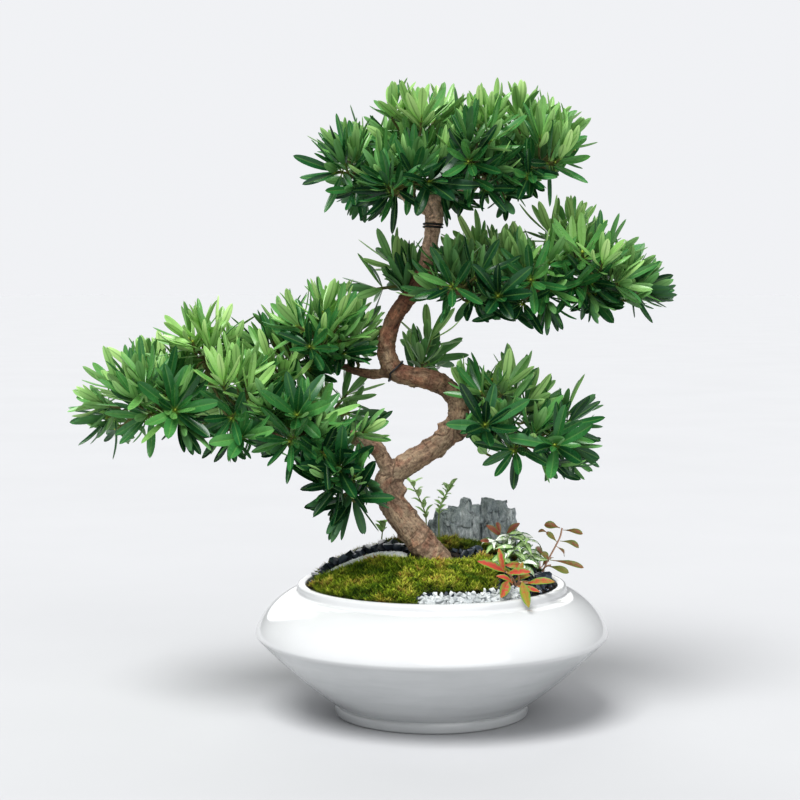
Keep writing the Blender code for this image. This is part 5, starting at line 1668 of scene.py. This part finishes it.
def straightened(mesh, paths):
    """Each corner's place as if its branch were straight: across, across and along, in mm."""
    samples = []
    for number, path in enumerate(paths):
        side = None
        length = 0.0
        for i, (centre, radius) in enumerate(path):
            tangent = direction(path, i)
            side = square_to(tangent, side or tangent.orthogonal())
            if i:
                length += (centre - path[i - 1][0]).length
            samples.append((centre, radius, tangent, side, length + number * BRANCH_APART))
    tree = KDTree(len(samples))
    for k, sample in enumerate(samples):
        tree.insert(sample[0], k)
    tree.balance()
    result = []
    for vert in mesh.vertices:
        spot = vert.co / MM
        best = min(tree.find_n(spot, NEAREST), key=lambda found: found[2] - samples[found[1]][1])
        centre, radius, tangent, side, length = samples[best[1]]
        away = spot - centre
        result.append(Vector((away.dot(side), away.dot(tangent.cross(side)),
                              length + away.dot(tangent))))
    return result


def along_wood(place, scales):
    """A place on the straightened wood, scaled across and along it."""
    across, along = scales
    return Vector((place.x * across, place.y * across, place.z * along))


def bark_relief(spot, place):
    """How far the bark stands out, at a spot and at its place along the straightened branch."""
    swell = noise.noise(spot * BARK_SWELL[0]) * BARK_SWELL[1]
    strips = noise.fractal(along_wood(place, STRIP_SCALES), *STRIP_NOISE)
    warp = noise.noise_vector(place * FLAKE_WARP[0]) * FLAKE_WARP[1]
    flake = noise.cell(along_wood(place, FLAKE_SCALES) + warp)
    knots = max(0.0, noise.noise(spot * KNOT_SCALE + KNOT_SHIFT) - KNOT_FLOOR) * KNOT_HEIGHT
    return (swell + strips * STRIP_HEIGHT + flake * FLAKE_HEIGHT + knots) * BARK_RELIEF


def make_trunk(finish):
    """The trunk, its branches and roots in one skin, with flakes and fissures along the wood."""
    lines = [BARK_TRUNK] + [points for name, points in BRANCHES.items() if name != "trunk"] + STUBS
    tubes = [tube_shape(tube_rings(smooth_path(points, FINE_STEPS), FINE_SIDES))
             for points in lines]
    mesh = remeshed("trunk", tubes, BARK_VOXEL, finish)
    places = straightened(mesh, [smooth_path(points, FINE_STEPS * 4) for points in lines])
    moves = [vert.normal * (bark_relief(vert.co / MM, place) * MM)
             for vert, place in zip(mesh.vertices, places)]
    top = Vector(BRANCHES["trunk"][-1][:3])
    for vert, move in zip(mesh.vertices, moves):
        if vert.co.z / MM < top.z - CUT_SMOOTH:
            vert.co += move
    grain = mesh.attributes.new("grain", "FLOAT_VECTOR", "POINT")
    grain.data.foreach_set("vector", [value * MM for place in places for value in place])
    cut = [clamped(vert.co.z / MM - top.z + CUT_FADE) for vert in mesh.vertices]
    give_values(mesh, "cut", cut)
    mesh.shade_smooth()
    place_piece("trunk_bark", mesh, ["trunk"])


def along_path(path, place):
    """Centre, radius and direction at a place along a path, given in steps of the path."""
    index = min(int(place), len(path) - 2)
    part = place - index
    start, end = path[index], path[index + 1]
    centre = start[0].lerp(end[0], part)
    radius = start[1] + (end[1] - start[1]) * part
    behind = path[max(index - 1, 0)][0]
    ahead = path[min(index + 2, len(path) - 1)][0]
    return centre, radius, (ahead - behind).normalized()


def make_wires(path, finish):
    """The training wire, wound close to the bark."""
    for name, (place, span, turns, lift) in WIRES.items():
        steps = WIRE_STEPS * turns * WIRE_FINE
        points = []
        for k in range(steps + 1):
            centre, radius, axis = along_path(path, place + span * (k / steps - 0.5))
            side = square_to(axis, WIRE_START)
            other = axis.cross(side)
            angle = math.tau * k / (WIRE_STEPS * WIRE_FINE)
            outward = turned(side, other, angle)
            points.append((centre + outward * (radius + FINE_WIRE_RADIUS + lift), FINE_WIRE_RADIUS))
        piece = Piece()
        piece.add_tube(points, WIRE_CORNERS, 0)
        piece.make(name + "_coil", [finish], [name], 60)


def stepped(radius, height, steps):
    """Corners of the pot's outline, as steps out and up from a place on it."""
    return [(radius + out, height + up) for out, up in steps]


def pot_profile():
    """Half of the pot's outline, from the axis below, round the outside, to the floor within."""
    points = UNDERSIDE + stepped(FOOT_RADIUS, FOOT_HEIGHT, FOOT_GROOVE)
    low = Vector(stepped(FOOT_RADIUS, FOOT_HEIGHT, [WALL_LOW])[0])
    high = Vector(stepped(RIDGE_RADIUS, RIDGE_HEIGHT, [WALL_HIGH])[0])
    for step in range(WALL_STEPS + 1):
        t = step / WALL_STEPS
        radius, height = low.lerp(high, t)
        points.append((radius, height - 4 * WALL_BULGE * t * (1 - t)))
    points += stepped(RIDGE_RADIUS, RIDGE_HEIGHT, RIDGE_CURVE)
    inner = RIDGE_RADIUS - SHOULDER_REACH
    rise = COLLAR_HEIGHT - RIDGE_HEIGHT
    for step in range(SHOULDER_STEPS + 1):
        angle = math.pi / 2 * step / SHOULDER_STEPS
        across = math.cos(angle) ** (2 / SHOULDER_POWER)
        up = math.sin(angle) ** (2 / SHOULDER_POWER)
        points.append((inner + SHOULDER_REACH * across, RIDGE_HEIGHT + rise * up))
    points += stepped(COLLAR_RADIUS, COLLAR_HEIGHT, COLLAR_CURVE)
    points += stepped(COLLAR_RADIUS, POT_HEIGHT, OUTER_LIP)
    points += stepped(MOUTH_RADIUS, POT_HEIGHT, INNER_LIP)
    return points + POT_INSIDE


def drain_drill(number):
    """A rod through the pot's floor, for one drain hole."""
    angle = math.radians(90 + 360 * number / DRAIN_HOLES)
    centre = turned(Vector((DRAIN_RING_RADIUS, 0, 0)), Vector((0, DRAIN_RING_RADIUS, 0)), angle)
    path = [(centre - UP * 5, DRAIN_RADIUS), (centre + UP * 25, DRAIN_RADIUS)]
    return in_scene("drill", new_mesh("drill", *tube_shape(tube_rings(path, DRAIN_SIDES))))


def make_pot(finish):
    """The glazed pot, turned finely, with its drain holes."""
    shape = bmesh.new()
    verts = [shape.verts.new((radius * MM, 0, height * MM)) for radius, height in pot_profile()]
    edges = [shape.edges.new(pair) for pair in zip(verts, verts[1:])]
    bmesh.ops.spin(shape, geom=verts + edges, axis=(0, 0, 1), cent=(0, 0, 0),
                   angle=math.tau, steps=POT_SIDES, use_merge=True)
    bmesh.ops.remove_doubles(shape, verts=shape.verts, dist=0.01 * MM)
    bmesh.ops.recalc_face_normals(shape, faces=shape.faces)
    mesh = bpy.data.meshes.new("pot_glaze")
    shape.to_mesh(mesh)
    shape.free()
    mesh.materials.append(finish)
    blank = in_scene("pot_turned", mesh)
    drills = [drain_drill(number) for number in range(DRAIN_HOLES)]
    for drill in drills:
        cut = blank.modifiers.new("drain", "BOOLEAN")
        cut.operation = "DIFFERENCE"
        cut.object = drill
    graph = bpy.context.evaluated_depsgraph_get()
    result = bpy.data.meshes.new_from_object(blank.evaluated_get(graph))
    for thing in drills + [blank]:
        bpy.data.objects.remove(thing, do_unlink=True)
    result.name = "pot_glaze"
    result.shade_smooth()
    result.set_sharp_from_angle(angle=math.radians(50))
    place_piece("pot_glaze", result, ["pot"])


def stem_foot(spot):
    """The foot of a small plant, down in its hole."""
    x, y = spot
    return (x, y, ground(x, y) - STEM_HOLE_DEPTH + GAP)


def small_leaf(piece, root, tip, face_up, width, bend, outline=SMALL_OUTLINE, tint=0.5, slot=0,
               roll=0.0):
    """One leaf of a small plant, from its root to its tip."""
    leaf = (root, tip, face_up, width, SMALL_THICKNESS, bend)
    blade(piece, leaf, outline, tint, slot, SMALL_BLADE, roll)


def small_stem(piece, points, radius, leaves, rng):
    """A thin stem through a few points, with fine leaves that reach out at places from 0 to 1."""
    fine = smooth_path([(*point, radius) for point in points], STEM_STEPS)
    steps = len(fine) - 1
    path = [(centre, radius * (1 - STEM_TAPER * k / steps)) for k, (centre, _) in enumerate(fine)]
    piece.add_tube(path, STEM_SIDES)
    for place, reach, width in leaves:
        centre, _, axis = along_path(fine, min(place, 1.0) * steps)
        tint = clamped(rng.gauss(*SMALL_LEAF_TINTS))
        face_up = SMALL_LEAF_UP + axis * SMALL_LEAF_PULL
        small_leaf(piece, centre, centre + reach, face_up, width,
                   rng.uniform(*SMALL_LEAF_BENDS), tint=tint)


def picture_leaf(piece, leaf, rng, outline):
    """A small leaf between two pixels of the photograph, with the depth of each end."""
    root, root_depth, tip, tip_depth, width = leaf
    tint = clamped(rng.gauss(*PICTURE_LEAF_TINTS))
    small_leaf(piece, from_picture(root, root_depth), from_picture(tip, tip_depth),
               PICTURE_LEAF_UP, width, rng.uniform(*PICTURE_LEAF_BENDS), outline, tint,
               roll=rng.gauss(0, PICTURE_LEAF_ROLL))


def picture_stem(piece, spots, radius):
    """A thin stem through pixels of the photograph, each with its depth."""
    points = [(*from_picture(pixel, depth), radius) for pixel, depth in spots]
    piece.add_tube(smooth_path(points, FINE_STEPS), STEM_SIDES)


def back_leaves(piece, centre, count, reach, width, rng):
    """Leaves on a plant's far side, which the photograph doesn't show, from its middle outwards."""
    first, span = FAR_FAN
    for k in range(count):
        angle = math.radians(first + span * (k + 0.5) / count) + rng.uniform(-FAR_SWAY, FAR_SWAY)
        out = Vector((math.cos(angle), math.sin(angle), rng.uniform(*FAR_RISES)))
        root = centre + out * FAR_ROOT + UP * rng.uniform(-FAR_DROP, FAR_DROP)
        tip = root + out.normalized() * reach * rng.uniform(*FAR_LENGTHS)
        wide = width * rng.uniform(*FAR_WIDTHS)
        bend = rng.uniform(*FAR_BENDS)
        small_leaf(piece, root, tip, UP + out * FAR_LEAN, wide, bend, tint=rng.random())
        piece.add_tube(list(zip((centre - UP * FAR_DROP, root), TWIG_RADII)), TWIG_CORNERS)


def make_red_leaved(name, stems, leaves, leaf_finish, stem_finish):
    """A plant with red leaves: the low one in the front right, or the tall one at the rim."""
    (x, y), top, radius, outline, (level, *far) = RED_LEAVED[name]
    rng = random.Random(SEEDS[name])
    piece = Piece()
    small_stem(piece, [stem_foot((x, y)), (x, y, top)], 1.3, [], rng)
    for spots in stems:
        picture_stem(piece, spots, radius)
    for leaf in leaves:
        picture_leaf(piece, leaf, rng, outline)
    back_leaves(piece, Vector((x, y, level)), *far, rng)
    piece.make(name + "_leaves", [leaf_finish, stem_finish], [name])


def make_variegated_plant(leaf_finish, stem_finish, red_finish):
    """A small bush of drooping leaves with white middles and green rims, and a few red ones."""
    rng = random.Random(SEEDS["variegated_plant"])
    x, y = VARIEGATED_PLANT
    piece = Piece()
    stem = [stem_foot(VARIEGATED_PLANT)] + [(x + shift, y, height) for shift, height in PALE_STEM]
    small_stem(piece, stem, PALE_STEM_RADIUS, [], rng)
    for number, (pixel, depth) in enumerate(PALE_TIPS):
        top = from_picture(pixel, depth)
        low = Vector((x, y, PALE_TWIG_FOOT + number))
        path = smooth_path([(*low, 0.7), (*(low.lerp(top, 0.55) + UP * 4), 0.65), (*top, 0.5)], 5)
        piece.add_tube(path, SHOOT_CORNERS)
        for k in range(PALE_LEAVES):
            angle = k * GOLDEN_TURN + rng.uniform(-PALE_SWAY, PALE_SWAY) + number
            droop = PALE_DROOP[0] - PALE_DROOP[1] * k
            out = Vector((math.cos(angle), math.sin(angle) - PALE_FORWARD, droop))
            root = top - UP * (PALE_STEP * k)
            tip = root + out.normalized() * rng.uniform(*PALE_LENGTHS)
            width = rng.uniform(*PALE_WIDTHS)
            bend = rng.uniform(*PALE_BENDS)
            tint = rng.random()
            small_leaf(piece, root, tip, PALE_LEAF_UP + out * PALE_LEAF_PULL, width, bend,
                       POINTED_OUTLINE, tint, roll=rng.gauss(0, PALE_ROLL))
    for root, root_depth, tip, tip_depth, width in ORANGE_LEAVES:
        start = from_picture(root, root_depth)
        end = from_picture(tip, tip_depth)
        small_leaf(piece, start, end, Vector((0, -1, 0.5)), width, 2.0, tint=0.3, slot=2)
        piece.add_tube(list(zip((Vector((x, y, 140)), start), TWIG_RADII)), TWIG_CORNERS)
    piece.make("variegated_leaves", [leaf_finish, stem_finish, red_finish],
               ["variegated_plant"])


def make_sprigs(leaf_finish, stem_finish):
    """Thin upright sprigs, with small pointed leaves in pairs up the stem."""
    rng = random.Random(SEEDS["sprigs"])
    for number, (name, points) in enumerate(SPRIGS.items()):
        x, y = points[0][:2]
        base = ground(x, y)
        stem = [stem_foot((x, y))] + [(px, py, base + pz) for px, py, pz in points]
        pairs, length, width, climb = SPRIG_LEAVES[name]
        leaves = []
        for k in range(pairs * 2):
            for turn in (0.0, math.pi):
                angle = turn + k * math.pi / 2 + SPRIG_TURN * number
                angle += rng.uniform(-SPRIG_SWAY, SPRIG_SWAY)
                size = length * rng.uniform(*SPRIG_LENGTHS)
                rise = climb + rng.uniform(*SPRIG_RISES)
                reach = Vector((math.cos(angle), math.sin(angle), rise)).normalized() * size
                wide = width * rng.uniform(*SPRIG_WIDTHS)
                leaves.append((SPRIG_TOP - SPRIG_STEP * k, reach, wide))
        piece = Piece()
        small_stem(piece, stem, SPRIG_RADIUS, leaves, rng)
        piece.make(name + "_leaves", [leaf_finish, stem_finish], [name])


def porcelain_finish():
    """White glaze, greyer below the ridge, where painted shade stands for the shadow on the
    downward-facing lower wall.
    """
    finish = Finish("porcelain_glaze", 0.07)
    finish.shader.inputs["Coat Weight"].default_value = 0.4
    finish.shader.inputs["Coat Roughness"].default_value = 0.03
    cloud = finish.noise(9.0, 3.0)
    white = finish.ramp(cloud, [(0.3, (0.62, 0.63, 0.635)), (0.7, (0.66, 0.67, 0.675))])
    streaks = finish.noise(14.0, 4.0, 0.6, (1, 1, 7))
    # Painted shade: the grey of the lower wall, with the glaze's fine streaks in it
    shaded_grey = finish.ramp(streaks, [(0.3, (0.50, 0.515, 0.52)), (0.7, (0.57, 0.585, 0.59))])
    height = finish.height()
    # Below the ridge the colour turns to the painted shade's grey
    finish.colour(finish.mix(finish.fade(height, 0.0655, 0.0675, 1.0), white, shaded_grey))
    finish.bump(finish.noise(22.0, 3.0), 0.3, 0.3)
    return finish.material


def pine_leaf_finish():
    """Leathery leaves: dark and glossy above with a pale midrib, light and dull green below."""
    finish = Finish("pine_leaf_green", 0.36)
    youth_and_shade = finish.sway(finish.value("tint"), finish.noise(60.0, 3.0), 0.3)
    # The darkest, nearly black stops are painted shade deep in the pads; the lightest are young
    # growth
    upper = finish.ramp(youth_and_shade, [
        (0.0, (0.006, 0.044, 0.016)), (0.25, (0.020, 0.115, 0.032)), (0.5, (0.058, 0.22, 0.060)),
        (0.75, (0.165, 0.39, 0.110)), (1.0, (0.34, 0.58, 0.19))])
    lower = finish.ramp(youth_and_shade, [
        (0.0, (0.055, 0.15, 0.065)), (0.25, (0.13, 0.31, 0.105)), (0.5, (0.24, 0.47, 0.16)),
        (0.75, (0.385, 0.64, 0.225)), (1.0, (0.55, 0.80, 0.31))])
    edge = finish.value("edge")
    ribbed = finish.mix(finish.fade(edge, 0.02, 0.24, 0.34), upper, (0.26, 0.48, 0.13))
    keeled = finish.mix(finish.fade(edge, 0.04, 0.26, 0.55), lower, (0.07, 0.21, 0.04))
    both = finish.mix(finish.value("under"), ribbed, keeled)
    foot = finish.fade(finish.value("along"), 0.02, 0.14, 0.7)
    finish.colour(finish.mix(foot, both, (0.33, 0.46, 0.07)))
    dull = finish.sway(finish.fade(finish.value("under"), 0.0, 1.0, 0.27, 0.5),
                       finish.noise(120.0, 2.0), 0.15)
    finish.join(dull, finish.shader.inputs["Roughness"])
    finish.bump(finish.noise(260.0, 2.0), 0.12, 0.3)
    return finish.material


def plain_finish(name):
    """A finish of colours along a noise, with a finer noise as its relief."""
    scale, stops, roughness = PLAIN_FINISHES[name]
    finish = Finish(name, roughness)
    finish.colour(finish.ramp(finish.noise(scale, 5.0, 0.6), stops))
    finish.bump(finish.noise(scale * 3, 4.0, 0.6), 0.2)
    return finish.material


def stone_finish(name):
    """A finish whose noise is moved lighter or darker by each stone's tint."""
    scale, stops, roughness, bump_scale, bump = STONE_FINISHES[name]
    finish = Finish(name, roughness)
    tinted = finish.sway(finish.noise(scale, 5.0, 0.6), finish.value("tint"), 0.35)
    finish.colour(finish.ramp(tinted, stops))
    finish.bump(finish.noise(bump_scale, 4.0, 0.6), bump)
    return finish.material


def bark_finish():
    """Flaking bark that runs along the wood, brown with reddish and pale patches, grey low down,
    ruddy and darker with painted shade under the foliage, and paler with painted light at its top.
    """
    finish = Finish("bark_flakes", 0.8)
    grain = finish.node("Attribute", {"attribute_name": "grain"}).outputs["Vector"]
    patches = finish.noise(46.0, 5.0, 0.62, (1, 1, 0.6), grain)
    blush = finish.noise(85.0, 4.0, 0.6, (1, 1, 0.7), grain)
    strips = finish.noise(180.0, 6.0, 0.72, (1, 1, 0.26), grain)
    flakes = finish.noise(420.0, 5.0, 0.72, (1, 1, 0.7), grain)
    rings = finish.noise(300.0, 4.0, 0.66, (0.3, 0.3, 1.6), grain)
    base = finish.ramp(patches, [
        (0.30, (0.13, 0.047, 0.027)), (0.42, (0.22, 0.10, 0.06)), (0.50, (0.27, 0.165, 0.10)),
        (0.60, (0.35, 0.26, 0.175)), (0.74, (0.47, 0.385, 0.28))])
    height = finish.height()
    aged = finish.mix(finish.fade(height, 0.20, 0.34, 0.60), base, (0.40, 0.335, 0.255))
    blushed = finish.mix(finish.fade(blush, 0.50, 0.64, 0.0, 0.5), aged, (0.30, 0.125, 0.08))
    # Above the left branch the bark turns ruddy and darker: its own reddish colour, with painted
    # shade under the foliage
    ruddy = finish.ramp(blush, [(0.42, (0.085, 0.042, 0.028)), (0.56, (0.27, 0.105, 0.06))])
    youth_and_shade = finish.mix(finish.fade(height, 0.295, 0.33, 0.0, 0.5), blushed, ruddy)
    # Painted light: the top stretch of the trunk, in the crown's shadow, made much paler
    lit_top = finish.mix(finish.fade(height, 0.37, 0.40, 0.0, 0.85), youth_and_shade, (0.80, 0.60, 0.47))
    striped = finish.mix(0.85, lit_top, finish.ramp(strips, [
        (0.34, (0.30, 0.24, 0.22)), (0.43, (0.74, 0.70, 0.67)), (0.54, (1.0, 0.98, 0.95)),
        (0.68, (1.6, 1.53, 1.45))]), "MULTIPLY")
    flaked = finish.mix(0.85, striped, finish.ramp(flakes, [
        (0.35, (0.28, 0.22, 0.20)), (0.45, (0.85, 0.82, 0.79)), (0.54, (1.02, 1.0, 0.98)),
        (0.68, (1.6, 1.55, 1.48))]), "MULTIPLY")
    ringed = finish.mix(0.7, flaked, finish.ramp(rings, [
        (0.33, (0.28, 0.22, 0.20)), (0.43, (1, 1, 1))]), "MULTIPLY")
    finish.colour(finish.mix(finish.value("cut"), ringed, (0.50, 0.37, 0.25)))
    finish.bump(finish.math("ADD", strips, finish.math("ADD", flakes, rings)), 1.2)
    return finish.material


def rock_finish():
    """Grey layered rock with dark cracks, pale streaks on its faces and a fine slanting grain."""
    finish = Finish("grey_rock_layers", 0.85)
    broad = finish.noise(60.0, 6.0, 0.7, (1, 1, 0.5))
    grain = finish.noise(420.0, 5.0, 0.75, (1, 1, 0.45))
    stone = finish.ramp(finish.sway(broad, grain, 0.9), [
        (0.26, (0.13, 0.155, 0.165)), (0.42, (0.30, 0.345, 0.36)), (0.56, (0.47, 0.515, 0.53)),
        (0.74, (0.82, 0.86, 0.87))])
    crack = finish.sway(finish.value("edge"), grain, 0.7)
    finish.colour(finish.mix(finish.fade(crack, 0.0, 0.32, 0.62), stone, (0.07, 0.08, 0.09)))
    finish.bump(grain, 1.3)
    return finish.material


def moss_finish(name):
    """Moss with painted shade: dark down in the cushion and at the blades' feet, bright at the tips
    of its blades.
    """
    finish = Finish(name, 0.8)
    bright = finish.ramp(finish.value("tint"), MOSS_FINISHES[name])
    moss_shade = finish.fade(finish.value("edge"), 0.2, 0.85, 0.98)
    # The mix towards the near black is the painted shade
    finish.colour(finish.mix(moss_shade, bright, MOSS_PAINTED_SHADE))
    return finish.material


def leafy_finish(name):
    """A small leaf with a coloured middle and another colour along its rim."""
    heart, spare, rim, blotch = LEAFY_FINISHES[name]
    finish = Finish(name, 0.42)
    kind = finish.sway(finish.value("tint"), finish.noise(360.0, 4.0, 0.7), 2.6)
    middle = finish.mix(finish.fade(kind, 0.35, 0.65, 0.0, 1.0), heart, spare)
    rough_edge = finish.sway(finish.value("edge"), finish.noise(420.0, 3.0), blotch)
    coloured = finish.mix(finish.fade(rough_edge, 0.55, 0.82, 0.0, 1.0), middle, rim)
    below = finish.fade(finish.value("under"), 0.0, 1.0, 0.0, 0.35)
    finish.colour(finish.mix(below, coloured, rim))
    finish.bump(finish.noise(380.0, 2.0), 0.15, 0.5)
    return finish.material


def make_stage():
    """The camera, a pale floor and soft light from above."""
    camera = bpy.data.cameras.new("camera")
    camera.lens = CAMERA_LENS
    camera.sensor_width = SENSOR_WIDTH
    eye = in_scene("camera", camera)
    eye.location = CAMERA_PLACE * MM
    eye.rotation_euler = (math.pi / 2 - CAMERA_PITCH, 0, 0)
    bpy.context.scene.camera = eye

    floor_mesh = bpy.data.meshes.new("floor")
    turns = [math.tau * k / FLOOR_SIDES for k in range(FLOOR_SIDES)]
    rim = [(FLOOR_RADIUS * math.cos(turn), FLOOR_RADIUS * math.sin(turn), 0) for turn in turns]
    floor_mesh.from_pydata(rim, [], [tuple(range(FLOOR_SIDES))])
    floor = in_scene("floor", floor_mesh)
    pale = Finish("floor_pale", 1.0)
    pale.shader.inputs["Specular IOR Level"].default_value = 0.0
    pale.colour(pale.ramp(pale.noise(3.0), FLOOR_STOPS))
    floor_mesh.materials.append(pale.material)

    for name, (strength, spread, tilt, turn) in SUNS.items():
        lamp = bpy.data.lights.new(name, "SUN")
        lamp.energy = strength
        lamp.angle = math.radians(spread)
        in_scene(name, lamp).rotation_euler = (math.radians(tilt), 0, math.radians(turn))

    world = bpy.data.worlds.new("studio")
    world.use_nodes = True
    tree = world.node_tree
    background = tree.nodes["Background"]
    background.inputs["Color"].default_value = WORLD_COLOUR
    seen = tree.nodes.new("ShaderNodeLightPath")
    strength = tree.nodes.new("ShaderNodeMapRange")
    strength.inputs["To Min"].default_value = WORLD_FILL
    strength.inputs["To Max"].default_value = WORLD_SEEN
    tree.links.new(seen.outputs["Is Camera Ray"], strength.inputs["Value"])
    tree.links.new(strength.outputs["Result"], background.inputs["Strength"])
    bpy.context.scene.world = world
    bpy.context.scene.view_settings.view_transform = "Standard"
    bpy.context.scene.view_settings.look = VIEW_LOOK


def sprig_holes():
    """The outlines that keep the moss off the sprigs' stems."""
    turns = [math.tau * k / STEM_HOLE_SIDES for k in range(STEM_HOLE_SIDES)]
    return [[(points[0][0] + STEM_HOLE_RADIUS * math.cos(turn),
              points[0][1] + STEM_HOLE_RADIUS * math.sin(turn)) for turn in turns]
            for points in SPRIGS.values()]


def make_ground():
    """The soil and the meshes under it, and the moss, sand, gravel, chips and rocks on it."""
    white = stone_finish("white_stone_grain")
    slate = stone_finish("dark_slate_wet")
    earth = stone_finish("soil_crumbs")
    net = plain_finish("drain_net_black")
    for name in ("soil", "drain_mesh_1", "drain_mesh_2", "drain_mesh_3"):
        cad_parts[name].material_slots[0].material = earth if name == "soil" else net
    make_moss("moss_front", MOSS_FRONT, [], moss_finish("moss_green"))
    make_moss("moss_back", MOSS_BACK, [ROCK_BED] + sprig_holes(), moss_finish("moss_brown_green"))
    make_sand(white)
    make_gravel(white)
    make_litter(earth, slate)
    make_slates(slate)
    make_rocks(rock_finish())


def make_tree():
    """The trunk with its wires, and the foliage."""
    paths = {name: smooth_path(points, CURVE_STEPS) for name, points in BRANCHES.items()}
    make_trunk(bark_finish())
    make_wires(paths["trunk"], plain_finish("wire_dark"))
    finishes = [pine_leaf_finish()]
    finishes += [plain_finish(name) for name in ("twig_bark", "bud_green", "berry_blue_green")]
    make_foliage(grow_foliage(paths), finishes)


def make_small_plants():
    """The companion plants round the tree."""
    green_stem = plain_finish("stem_green")
    make_red_leaved("red_plant", RED_STEMS, RED_LEAVES, leafy_finish("leaf_red"),
                    plain_finish("stem_red"))
    make_variegated_plant(leafy_finish("leaf_variegated"), green_stem,
                          leafy_finish("leaf_brown_red"))
    make_red_leaved("tall_plant", TALL_STEMS, TALL_LEAVES, leafy_finish("leaf_olive"),
                    plain_finish("stem_peach"))
    make_sprigs(leafy_finish("leaf_sprig"), green_stem)


make_stage()
make_pot(porcelain_finish())
make_ground()
make_tree()
make_small_plants()
